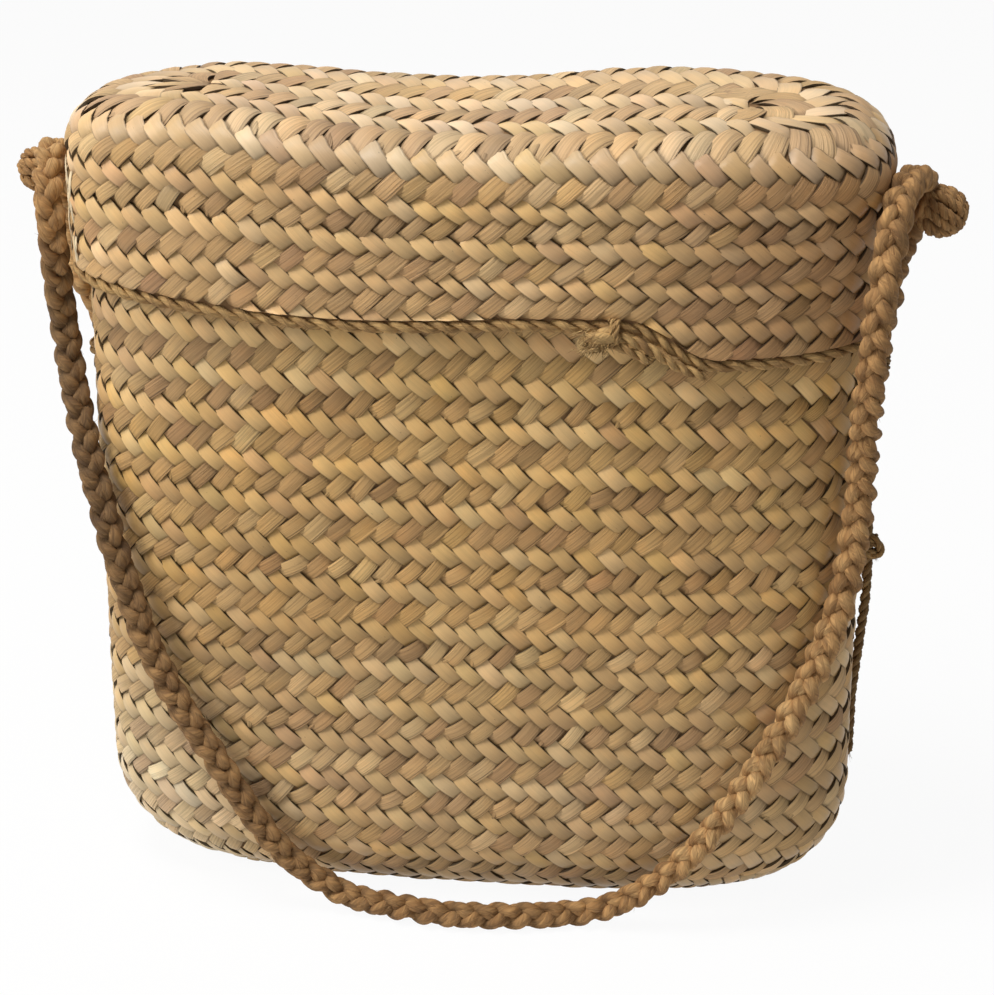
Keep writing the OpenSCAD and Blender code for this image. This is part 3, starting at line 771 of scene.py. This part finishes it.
def seam_lining():
    """The strip behind the middle seam of the lid's top."""
    x, y = np.meshgrid(np.linspace(-117, 117, 60), (-2.4, 0.0, 2.4), indexing="ij")
    top = lid_level(np.array(SEAM_BAND))[2]
    points = np.stack([x, y, top(x, y) - 0.3], -1).reshape(-1, 3)
    return make_piece("lid_seam_lining", points, grid_faces(1, 60, 3), SHADE_LINING)


def rim_floor(c):
    """Leaves of the lid end at its corded rim."""
    spot = COVER.spot(c, np.zeros_like(c))
    return (rim_at(spot[..., 0], spot[..., 1]) - RIM_H) / SKIRT_BAND


def ragged_end(leaves):
    """Pale slips of split leaf at the lid's left end, beside the strap."""
    n, first, spread = 30, 39.4, 3.0
    c = first + spread * draw.random(n)
    h = 0.5 + 4.6 * draw.random(n)
    lean = draw.normal(0, 0.16, n)
    along = np.stack([lean, -(0.40 + 0.40 * draw.random(n))], 1)
    across = np.stack([0.08 + 0.09 * draw.random(n), np.zeros(n)], 1)
    shade = draw.normal(1.0, 0.10, (n, 1))
    leaves.add(c, h, along, across, colour=np.array([tone(222, 202, 166)]) * shade, crown=0.6, edge=0.3,
               lift=1.75 + 0.5 * draw.random(n), tail=0.25 * draw.random(n), reach=1.0, matt=0.7,
               taper=0.6, hem=0)


def seam_ends(leaves):
    """A leaf along each end of the top's middle seam, where the turning rows meet."""
    front = COVER.turns > np.pi
    x = np.array([4.5 - COVER.spine, COVER.spine - 4.5])
    c = np.interp(x, oval(LID, COVER.turns[front])[0], COVER.run[front] / COVER.run[-1] * COVER.columns)
    along, across = np.tile([0.95, 0.0], (2, 1)), np.tile([0.0, 0.30], (2, 1))
    colour = LEAF_TONES[[0, 2]] * LID_STRIP_LIGHT[-1, :3]
    leaves.add(c, np.full(2, SEAM_BAND), along, across, colour=colour, lift=0.7, crown=0.5, edge=0.4,
               reach=1.0, taper=0.3, matt=0.2, hem=0)


# Bands of the lid that stand open where two turns of the strip are sewn, and the bands above that tuck under
OPEN_TOPS, TUCKED = {3: 0.7, 7: 1.1}, {4: 0.3, 8: 0.25}
SIDE_WEAVE = dict(crown=1.95, wide=1.03, over=0.25, row=even_row)
TOP_WEAVE = dict(crown=1.2, wide=1.10, over=0.1, row=turning_row)


def weave_lid():
    outer = Leaves()
    for band in range(-2, 12):
        # the lid's first band above the rim slants up and is matt
        form = TOP_WEAVE if band >= CREST_BAND else SIDE_WEAVE
        # the crest's row is darkened as painted shade
        bright = 0.86 if band == CREST_BAND - 1 else 1.0 if band % 2 else 1.08
        weave(outer, COVER, band + 1, seam=band in TUCKED, open_top=OPEN_TOPS.get(band, 0.0),
              under=TUCKED.get(band, 0.0), fold_share=0.55, short=0.98, bright=bright, strips=LID_STRIP_LIGHT,
              drop=1, **form)
    for number, row in enumerate(outer.rows):
        good = row["h"] > rim_floor(row["c"]) - 0.35
        # the last row crosses the middle seam, so only the front's leaves of it are kept
        spot = COVER.spot(row["c"], np.minimum(row["h"], SEAM_BAND - 0.05))
        good &= (row["h"] < SEAM_BAND - 0.3) | ((spot[:, 1] < 0) & (np.abs(spot[:, 0]) < COVER.spine - 2))
        outer.rows[number] = {key: value[good] for key, value in row.items()}
    ragged_end(outer)
    seam_ends(outer)
    wall = outer.build("lid_weave", COVER, (9, 5), floor_h=rim_floor)
    inner = Leaves()
    for band in range(0, 12):
        weave(inner, COVER, band + 1, crown=1.0, plain=True, bright=0.9, drop=1)
    inside = inner.build("lid_inside_weave", COVER, (5, 3), side=-1.0, ground=inside_ground,
                         floor_h=rim_floor, hems=False)
    return [wall, inside]


BASKET_LEVELS = np.concatenate([np.linspace(-2.3, 8, 24), np.linspace(9, MOUTH_BAND, 16)])
LID_LEVELS = np.concatenate([np.linspace(0, EDGE_BAND, 5), np.linspace(6.5, 11.48, 14)])
LID_SINK = np.interp(LID_LEVELS, [7.5, 8.5], [-0.2, -0.4])
basket_pieces = weave_basket()
basket_pieces.append(sheet("basket_lining", BASKET, 154, BASKET_LEVELS, -0.3))
lid_pieces = weave_lid()
lid_pieces.append(sheet("lid_lining", COVER, 158, LID_LEVELS, LID_SINK, lambda c: rim_floor(c) - 0.25))
lid_pieces.append(seam_lining())
for piece in basket_pieces:
    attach(piece, "basket")
    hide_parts("basket")
for piece in lid_pieces:
    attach(piece, "lid")
    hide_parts("lid")


# Ropes and cords

def smooth_line(points, step, closed=False):
    """A smooth line through points, at even steps."""
    p = np.asarray(points, float)
    n = len(p)
    spans = n if closed else n - 1
    at = (lambda i: p[i % n]) if closed else (lambda i: p[min(max(i, 0), n - 1)])
    t = np.linspace(0, 1, 24, endpoint=False)[:, None]
    dense = []
    for i in range(spans):
        a, b, c, d = at(i - 1), at(i), at(i + 1), at(i + 2)
        bow, swing = 2 * a - 5 * b + 4 * c - d, 3 * b - a - 3 * c + d
        dense.append(0.5 * (2 * b + (c - a) * t + bow * t ** 2 + swing * t ** 3))
    dense = np.concatenate(dense + [at(spans)[None]])
    run = length_along(dense)
    want = np.linspace(0, run[-1], max(int(round(run[-1] / step)), 2) + 1)
    return np.stack([np.interp(want, run, dense[:, k]) for k in range(3)], 1), want


# A cross direction to begin from, slanted so that no line runs along it
CROSS_START = (0.3, 0.2, 1.0)


def carried_frames(line, start=CROSS_START):
    """Heading and two cross directions along a line, without twist."""
    heading = unit(np.gradient(line, axis=0))
    side = np.zeros_like(line)
    v = np.asarray(start, float)
    for i, t in enumerate(heading):
        v = v - (v @ t) * t
        v = v / np.linalg.norm(v)
        side[i] = v
    return heading, side, np.cross(heading, side)


class Yarns:
    """Swept strands gathered into one piece."""

    def __init__(self):
        self.points, self.faces, self.run, self.shade, self.count = [], [], [], [], 0

    def sweep(self, line, outward, thick, wide, sides, shade=1.0, number=0.0, closed=False):
        """A strand along a line: thick along the outward direction, wide across it, with round ends."""
        n = len(line)
        heading = unit(np.gradient(line, axis=0))
        if closed:
            heading[0] = heading[-1] = unit(line[1] - line[-2])
        out = unit(outward - np.sum(outward * heading, 1, keepdims=True) * heading)
        across = np.cross(heading, out)
        a = np.linspace(0, 2 * np.pi, sides, endpoint=False)
        thick, wide = np.broadcast_to(thick, (n,)), np.broadcast_to(wide, (n,))
        ring = (line[:, None] + out[:, None] * (np.cos(a)[None, :, None] * thick[:, None, None])
                + across[:, None] * (np.sin(a)[None, :, None] * wide[:, None, None]))
        i, j = np.meshgrid(np.arange(n - 1), np.arange(sides), indexing="ij")
        first, next_side = i * sides + j, i * sides + (j + 1) % sides
        quads = np.stack([first, next_side, next_side + sides, first + sides], -1).reshape(-1, 4)
        points = ring.reshape(-1, 3)
        self.faces += [tuple(q) for q in (quads + self.count)]
        if not closed:
            self.faces.append(tuple(self.count + np.arange(sides)[::-1]))
            self.faces.append(tuple(self.count + (n - 1) * sides + np.arange(sides)))
        self.points.append(points)
        self.run.append(noted(length_along(line)[:, None], a[None], number))
        self.shade.append(np.broadcast_to(np.asarray(shade, float).reshape(-1, 1), (n, sides)).ravel())
        self.count += len(points)

    def hairs(self, roots, ways, length, thick, shade=1.15):
        """Loose fibres: thin bent slips that stand off the rope."""
        for root, way, long in zip(roots, ways, length):
            bend = unit(way + draw.normal(0, 0.6, 3))
            t = np.linspace(0, 1, 5)[:, None]
            line = root + way * long * t + (bend - way) * long * 0.6 * t ** 2
            outward = np.tile(unit(np.cross(way, bend + 0.01)), (5, 1))
            slim = thick * (1.05 - t[:, 0])
            self.sweep(line, outward, slim, slim, 3, shade, draw.random() * 50)

    def build(self, name, finish):
        return make_piece(name, np.concatenate(self.points), self.faces, finish,
                          yarn_run=np.concatenate(self.run), yarn_shade=np.concatenate(self.shade))


# Shares of the strap's diameter: how far its strands swing and rise, and their yarns' place and half sizes
STRAND_SWING, STRAND_RISE = 0.262, 0.19
YARN_OUT, YARN_THICK, YARN_WIDE = 0.075, 0.160, 0.195
# Shares of a cord's diameter: its plies' place and half sizes
PLY_OUT, PLY_THICK, PLY_WIDE = 0.235, 0.255, 0.30


def plait(yarns, line, run, dia, lead, sides, start, shade):
    """A three-strand plait: each strand swings from edge to edge, over one neighbour and under the other."""
    _, side, top = carried_frames(line, start)
    strands, plies = 3, 2
    swing, rise = dia * STRAND_SWING, dia * STRAND_RISE
    for k in range(strands):
        turn = 2 * np.pi * run / lead + 2 * np.pi * k / strands + 0.25 * np.sin(run * 0.045 + k)
        centre = line + side * (swing * np.sin(turn))[:, None] + top * (rise * np.sin(2 * turn))[:, None]
        bulge = 1 + 0.10 * np.abs(np.sin(2 * turn)) + 0.05 * np.sin(run * 0.23 + k * 2.1)
        way = unit(np.gradient(centre, axis=0))
        across = unit(np.cross(way, top))
        # painted shade where each strand dips between its neighbours, times the rope's shade along it and a
        # tone for each strand
        crevice_shade = (0.62 + 0.44 * np.abs(np.sin(2 * turn))) * shade * (0.96 + 0.06 * k)
        for ply in range(plies):
            wind = 2 * np.pi * run / (lead * 0.62) + np.pi * ply + k
            put = pointing(across, top, wind) * dia[:, None] * YARN_OUT
            yarns.sweep(centre + put, top, dia * YARN_THICK * bulge, dia * YARN_WIDE * bulge, sides, crevice_shade,
                        10.0 * k + 4.0 * ply)


def twisted(yarns, line, run, dia, lead, plies, sides, start=CROSS_START, shade=1.0, closed=False,
            number=0.0):
    """A laid cord of two or more plies."""
    _, side, top = carried_frames(line, start)
    for k in range(plies):
        turn = 2 * np.pi * run / lead + 2 * np.pi * k / plies
        out = pointing(side, top, turn)
        wobble = 1 + 0.07 * np.sin(run * 0.33 + k * 1.9 + number)
        yarns.sweep(line + out * dia * PLY_OUT, out, dia * PLY_THICK * wobble, dia * PLY_WIDE * wobble, sides,
                    shade, number + 7.0 * k, closed)


def fray(yarns, root, way, spread, count, length, thick, shade=1.0):
    """A cut cord end: a tuft of loose fibres."""
    way = unit(np.asarray(way, float))
    roots = np.asarray(root, float) + draw.normal(0, spread * 0.35, (count, 3))
    ways = unit(way + draw.normal(0, 0.32, (count, 3)))
    yarns.hairs(roots, ways, length * (0.6 + 0.5 * draw.random(count)), thick, shade)


# Shares of the strap's length, and how light and how thick it is there
WORN_AT = (0.0, 0.18, 0.30, 0.37, 0.42, 0.48, 0.60, 0.68, 0.75, 0.82, 0.87, 0.92, 1.0)
WEAR_AND_PAINTED_SHADE = (0.70, 0.84, 0.96, 1.22, 0.98, 0.70, 0.66, 0.62, 0.41, 0.42, 0.94, 1.42, 1.10)
GIRTH_AT = (0.30, 0.42, 0.58, 0.70)
GIRTH = (1.15, 1.02, 1.02, 1.10)
STRAP_LEAD, FLOOR_CLEAR = 32.0, 0.1


def make_strap():
    line, run = smooth_line(STRAP_ROUTE, 1.25)
    yarns = Yarns()
    # the rope's tone is partly wear from handling and partly painted shade and light: darkest on its left
    # side and under the basket, palest low on the right and at the left fold
    wear_and_shade = np.interp(run / run[-1], WORN_AT, WEAR_AND_PAINTED_SHADE)
    girth = STRAP_DIA * np.interp(run / run[-1], GIRTH_AT, GIRTH)
    plait(yarns, line, run, girth, STRAP_LEAD, 10, (1.0, 0.0, 0.0), wear_and_shade)
    for ring in yarns.points:
        ring[:, 2] = np.maximum(ring[:, 2], FLOOR_CLEAR)
    strap = yarns.build("shoulder_strap_braid", ROPE)
    path, _ = smooth_line(STRAP_ROUTE, 8.0)
    return strap, path * MM, run[-1] * MM


strap, strap_path, strap_length = make_strap()
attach(strap, "basket")
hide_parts("shoulder_strap")


def button_knot(name, centre, axis, radius, depth):
    """A rope end tied back over itself: strands fan out from the rope and close at the outer end."""
    centre, axis = np.asarray(centre, float), unit(np.asarray(axis, float))
    side = unit(np.cross(axis, [0.2, 0.9, 0.4]))
    top = np.cross(axis, side)
    yarns = Yarns()
    count, plies, ply_lead = 11, 2, 9.0
    t = np.linspace(0.06, 0.97, 34)
    lat = np.pi * t
    bulk = 0.55 + 0.45 * np.sin(lat)
    for k in range(count):
        turn = 2 * np.pi * k / count + 0.9 * (t - 0.2) + 0.10 * math.sin(k * 2.7)
        swell = radius * (0.97 + 0.05 * math.sin(k * 1.7))
        out = pointing(side, top, turn)
        line = (centre - axis * (depth * np.cos(lat))[:, None]
                + out * ((swell - 2.2) * np.sin(lat) ** 0.75)[:, None])
        facing = out * np.sin(lat)[:, None] - axis * np.cos(lat)[:, None]
        across = np.cross(unit(np.gradient(line, axis=0)), facing)
        for ply in range(plies):
            put = pointing(facing, across, 2 * np.pi * length_along(line) / ply_lead + np.pi * ply + k)
            yarns.sweep(line + put * (1.25 * bulk)[:, None], put, 1.45 * bulk, 1.75 * bulk, 7,
                        0.92 + 0.12 * math.sin(k * 3.1 + ply), 40 + 3.0 * k + ply)
    # three turns bind the strands where they leave the rope
    turns = np.linspace(0, 2 * np.pi * 3, 90)
    about = pointing(side, top, turns)
    ring = centre - axis * (depth * (0.9 - 0.1 * turns / 6))[:, None] + about * radius * 0.52
    yarns.sweep(ring, about, 1.9, 2.0, 7, 0.9, 91.0)
    # a plain core fills the knot, darkened to half as painted shade
    core = centre + axis * np.linspace(-depth * 0.8, depth * 0.8, 9)[:, None]
    girth = (radius - 3.4) * np.sqrt(np.clip(1 - np.linspace(-0.93, 0.93, 9) ** 2, 0.05, 1))
    yarns.sweep(core, np.tile(side, (9, 1)), girth, girth, 16, 0.5, 95.0)
    return yarns.build(name, ROPE)


knot_right = button_knot("strap_knot_right_button", RIGHT_KNOT, (0.93, 0.05, -0.36), 11.5, 10.0)
knot_left = button_knot("strap_knot_left_button", LEFT_KNOT, (-0.9, 0.25, -0.3), 10.5, 9.5)
for piece, node in ((knot_right, "strap_knot_right"), (knot_left, "strap_knot_left")):
    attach(piece, "basket")
    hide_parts(node)


def strap_fibres():
    """Loose fibres along the strap, closer together at its right fold."""
    line, _ = smooth_line(STRAP_ROUTE, 2.0)
    heading, side, top = carried_frames(line)
    yarns = Yarns()
    all_along, at_fold, fold_points = 150, 90, (40, 130)
    pick = np.concatenate([draw.integers(2, len(line) - 2, all_along), draw.integers(*fold_points, at_fold)])
    turn = draw.random(len(pick)) * 2 * np.pi
    out = pointing(side[pick], top[pick], turn)
    ways = unit(out * 0.5 + heading[pick] * draw.normal(0, 1, (len(pick), 1)))
    roots = line[pick] + out * STRAP_DIA * 0.45
    clear = roots[:, 2] > 3
    yarns.hairs(roots[clear], ways[clear], (1.5 + 3.5 * draw.random(len(pick)))[clear], 0.11, 1.2)
    return yarns.build("strap_fibres", ROPE)


fibres = strap_fibres()
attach(fibres, "basket")


# The cord along the lid's rim

# How far the cord's middle lies below the rim and outside the lid's outline
RIM_DROP, RIM_OUT = 3.3, -0.5
RIM_LEAD = 17.0


def rim_cord_line(step):
    turn = np.interp(np.linspace(0, COVER.run[-1], 400), COVER.run, COVER.turns)
    x, y = oval((LID[0] + RIM_OUT, LID[1] + RIM_OUT), turn)
    slope = (rim_at(x + 1, y) - rim_at(x - 1, y)) / 2
    slope = np.where(np.abs(slope) > 3, 0, slope)
    z = rim_at(x, y) - RIM_DROP * np.sqrt(1 + slope ** 2)
    return smooth_line(np.stack([x, y, z], 1)[:-1], step, closed=True)


def make_rim_cord():
    yarns = Yarns()
    line, run = rim_cord_line(1.5)
    lead = run[-1] / round(run[-1] / RIM_LEAD)
    twisted(yarns, line, run, RIM_CORD_DIA * 1.04, lead, 2, 8, closed=True)
    return yarns.build("lid_rim_cord_twist", CORD)


def make_rim_knot():
    """The knot at the step of the rim: a frayed bundle, its binding and doubled cord down the step."""
    yarns = Yarns()

    def on_rim(x, out, up):
        wall_y = LID[1] * (1 - (abs(x) / LID[0]) ** SQUARE) ** (1 / SQUARE)
        return (x, -(wall_y + out), float(rim_at(np.array(x), np.array(-1.0))) - RIM_DROP + up)

    bundle = [on_rim(66, 2.5, -2.0), on_rim(62, 4.4, -2.6), on_rim(58, 5.6, -3.8), on_rim(54, 6.0, -4.8)]
    line, run = smooth_line(bundle, 1.0)
    twisted(yarns, line, run, 8.4, 30.0, 3, 8, number=3.0, start=(0, 1, 0.1), shade=1.05)
    fray(yarns, on_rim(56, 6.0, -4.0), (-0.85, -0.08, -0.5), 6.5, 170, 5.5, 0.30, 1.45)
    fray(yarns, on_rim(60, 6.6, -5.5), (-0.3, -0.1, -0.9), 4.5, 70, 5.0, 0.28, 1.5)
    turn = np.linspace(0, 2 * np.pi * 3.4, 110)
    middle = np.array(on_rim(65, 2.5, -2.0))
    binding = middle + np.stack([1.1 * (turn / np.pi / 2 - 1.7), 4.0 * np.sin(turn), 5.6 * np.cos(turn)], 1)
    twisted(yarns, binding, length_along(binding), 2.4, 8.0, 2, 7, number=5.0, start=(1, 0, 0.1))
    long_end = [(66, 3.2, -3.6), (72, 3.8, -4.4), (79, 3.6, -5.4), (87, 3.2, -5.8), (95, 2.5, -5.2),
                (102, 1.6, -4.4)]
    short_end = [(66, 4.2, -6.4), (70, 4.8, -8.4), (75, 4.6, -9.8), (79, 4.0, -10.4)]
    for spots, thick, number, tuft in ((long_end, 5.2, 9.0, 3.0), (short_end, 4.6, 13.0, 3.6)):
        line, run = smooth_line([on_rim(*spot) for spot in spots], 1.2)
        twisted(yarns, line, run, thick, 13.0, 2, 8, number=number, start=(0, 1, 0.1))
        fray(yarns, line[-1], (0.9, -0.1, -0.4), 2.4, 30, tuft, 0.2)
    return yarns.build("lid_rim_knot_ends", CORD)


rim_cord, rim_knot = make_rim_cord(), make_rim_knot()
for piece, node in ((rim_cord, "lid_rim_cord"), (rim_knot, "lid_rim_knot")):
    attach(piece, "lid")
    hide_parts(node)


# The thin cords at the basket's ends

def end_point(side, y, z, off):
    share = (z - FOOT_RISE) / (RIM_H - FOOT_RISE)
    half_w, half_d = BELLY[0] - END_LEAN * share, BELLY[1] - FACE_LEAN * share
    x = half_w * (1 - (y / half_d) ** SQUARE) ** (1 / SQUARE)
    nx, ny = (x / half_w) ** (SQUARE - 1) / half_w, (y / half_d) ** (SQUARE - 1) / half_d
    size = math.hypot(nx, ny)
    return (side * (x + off * nx / size), y + off * ny / size, z)


# A side cord starts at its foot, lies close to the basket at its two ends and hangs slack between them, and
# is darkened as painted shade
SIDE_FOOT, SIDE_SEAT, SIDE_SLACK, SIDE_OFF, SIDE_SHADE = 60.0, 20.0, 4.6, 2.8, 0.55
# It loops over the strap's end, and is drawn aside below that
LOOP_OVER, DRIFT_BELOW, DRIFT_LENGTH = 7.0, 50.0, 35.0
# Where each cord lies across the basket's end, low and at its head, and the height of the right one's knot
RIGHT_LIE, LEFT_LIE = (11.0, 20.5), (24.0, 18.5)
SIDE_KNOT_H = 169.5


def side_cord_point(side, z, low_y, head_y, loop_h):
    """A point of a side cord: it hangs a little off the basket half way up and is drawn aside at its head."""
    y = low_y + (head_y - low_y) * float(eased((z - loop_h + DRIFT_BELOW) / DRIFT_LENGTH))
    middle = (SIDE_FOOT + loop_h) / 2
    slack = SIDE_SLACK * float(hollow(z, middle, middle - SIDE_FOOT - SIDE_SEAT))
    return end_point(side, y, z, SIDE_OFF + slack)


def make_side_cord(name, side, low_y, head_y, foot):
    """A cord up one end of the basket, with two turns round the strap's end."""
    yarns = Yarns()
    loop_h = foot[2] + LOOP_OVER
    heights = np.linspace(SIDE_FOOT, loop_h + 1, 26)
    spots = [side_cord_point(side, z, low_y, head_y, loop_h) for z in heights]
    line, run = smooth_line(spots, 1.2)
    twisted(yarns, line, run, SIDE_CORD_DIA * 1.45, 12.0, 2, 8, shade=SIDE_SHADE)
    turn = np.linspace(0, 2 * np.pi, 60)
    reach = STRAP_DIA / 2 + 0.4 + SIDE_CORD_DIA / 2
    size = np.linspace(0, 2 * np.pi * reach, 60)
    for lift in (0.0, 3.2):
        level = np.full(60, loop_h - 1.5 + lift)
        ring = np.stack([foot[0] + reach * np.cos(turn), foot[1] + reach * np.sin(turn), level], 1)
        twisted(yarns, ring, size, SIDE_CORD_DIA * 0.95, size[-1] / 5, 2, 7, start=(0, 0, 1),
                shade=SIDE_SHADE, closed=True, number=4.0 + lift)
    fray(yarns, spots[0], (0.1 * side, 0, -1), 1.2, 18, 5.0, 0.16)
    return yarns.build(name, CORD)


def make_side_knot():
    """The right side cord's knot: two folds of the cord that stick out, held by a turn round the cord."""
    middle = np.array(side_cord_point(1, SIDE_KNOT_H, *RIGHT_LIE, STRAP_ROUTE[0][2] + LOOP_OVER))
    yarns = Yarns()
    for number, (aside, drop) in enumerate(((-1.9, 0.0), (1.9, 1.2))):
        fold = [(-0.5, aside, 4.2), (1.8, aside, 4.0), (4.4, aside, 2.4), (5.6, aside, -0.4),
                (4.9, aside, -3.2), (2.6, aside, -4.2), (0.6, aside, -3.0), (-0.6, aside, -1.2)]
        line, run = smooth_line(middle + np.array(fold) - [0, 0, drop], 0.8)
        twisted(yarns, line, run, 4.4, 12.0, 2, 8, start=(0, 1, 0), number=2.0 + 5.0 * number, shade=0.8)
    turn = np.linspace(0, 2 * np.pi * 2.3, 90)
    wrap = middle + np.stack([3.4 * np.cos(turn), 3.4 * np.sin(turn), np.linspace(4.5, -3.5, 90)], 1)
    twisted(yarns, wrap, length_along(wrap), 3.2, 9.0, 2, 7, start=(0, 0, 1), number=6.0, shade=0.7)
    fray(yarns, middle + [3.5, -1, -5.0], (0.2, -0.3, -0.9), 1.2, 10, 3.0, 0.13)
    return yarns.build("side_cord_knot_turns", CORD)


side_right = make_side_cord("side_cord_right_twist", 1, *RIGHT_LIE, STRAP_ROUTE[0])
side_left = make_side_cord("side_cord_left_twist", -1, *LEFT_LIE, STRAP_ROUTE[-1])
side_knot = make_side_knot()
for piece, node in (
    (side_right, "side_cord_right"), (side_left, "side_cord_left"), (side_knot, "side_cord_knot"),
):
    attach(piece, "basket")
    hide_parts(node)


# Floor and light

def seen_rays(finish):
    """Rays that show the pale background: the camera's, and reflected and refracted ones."""
    kinds = ("Is Camera Ray", "Is Glossy Ray", "Is Transmission Ray")
    camera, glossy, clear = (finish.node("ShaderNodeLightPath", {}, {}, out=kind) for kind in kinds)
    return camera + glossy + clear


FLOOR_HALF = 9000.0


def make_stage():
    paper = Finish("floor paper")
    place = paper.node("ShaderNodeTexCoord", {}, {}, out=3)
    grain = paper.noise(place, 6.0, 2.0)
    colour = paper.blend(grain, (0.84, 0.84, 0.84, 1), (0.88, 0.88, 0.88, 1))
    matt = paper.node("ShaderNodeBsdfDiffuse", {}, {"Color": colour})
    white = paper.node("ShaderNodeEmission", {}, {"Color": (1, 1, 1, 1), "Strength": 1.0})
    mixed = paper.node("ShaderNodeMixShader", {}, {0: seen_rays(paper) * 0.94, 1: matt, 2: white})
    paper.node("ShaderNodeOutputMaterial", {}, {"Surface": mixed})
    corners = [(x * FLOOR_HALF, y * FLOOR_HALF, 0) for x, y in ((-1, -1), (1, -1), (1, 1), (-1, 1))]
    floor = make_piece("floor", corners, np.array([[0, 1, 2, 3]]), paper.material)
    room = Finish("studio", bpy.data.worlds)
    soft = room.node("ShaderNodeBackground", {}, {"Color": (1.0, 0.985, 0.96, 1), "Strength": 0.200})
    wall = room.node("ShaderNodeBackground", {}, {"Color": (1, 1, 1, 1), "Strength": 0.955})
    mixed = room.node("ShaderNodeMixShader", {}, {0: seen_rays(room), 1: soft, 2: wall})
    room.node("ShaderNodeOutputWorld", {}, {"Surface": mixed})
    bpy.context.scene.world = room.material
    for name, spot, aim, size, power, colour in (
        ("key", (-1.9, -0.85, 1.5), (0, 0, 0.25), 0.7, 30.2, (1.0, 0.98, 0.95)),
        ("overhead", (-0.5, -0.35, 2.25), (0, 0, 0.3), 0.7, 30.4, (1.0, 0.99, 0.97)),
        ("front fill", (-0.6, -2.4, 0.9), (0, 0, 0.18), 1.6, 2.6, (1.0, 0.98, 0.95)),
    ):
        lamp = bpy.data.lights.new(name, "AREA")
        lamp.size, lamp.energy, lamp.color = size, power, colour
        lamp_object = bpy.data.objects.new(name, lamp)
        bpy.context.collection.objects.link(lamp_object)
        lamp_object.location = spot
        lamp_object.rotation_euler = (Vector(aim) - Vector(spot)).to_track_quat("-Z", "Y").to_euler()
    bpy.context.scene.view_settings.view_transform = "Standard"


make_stage()
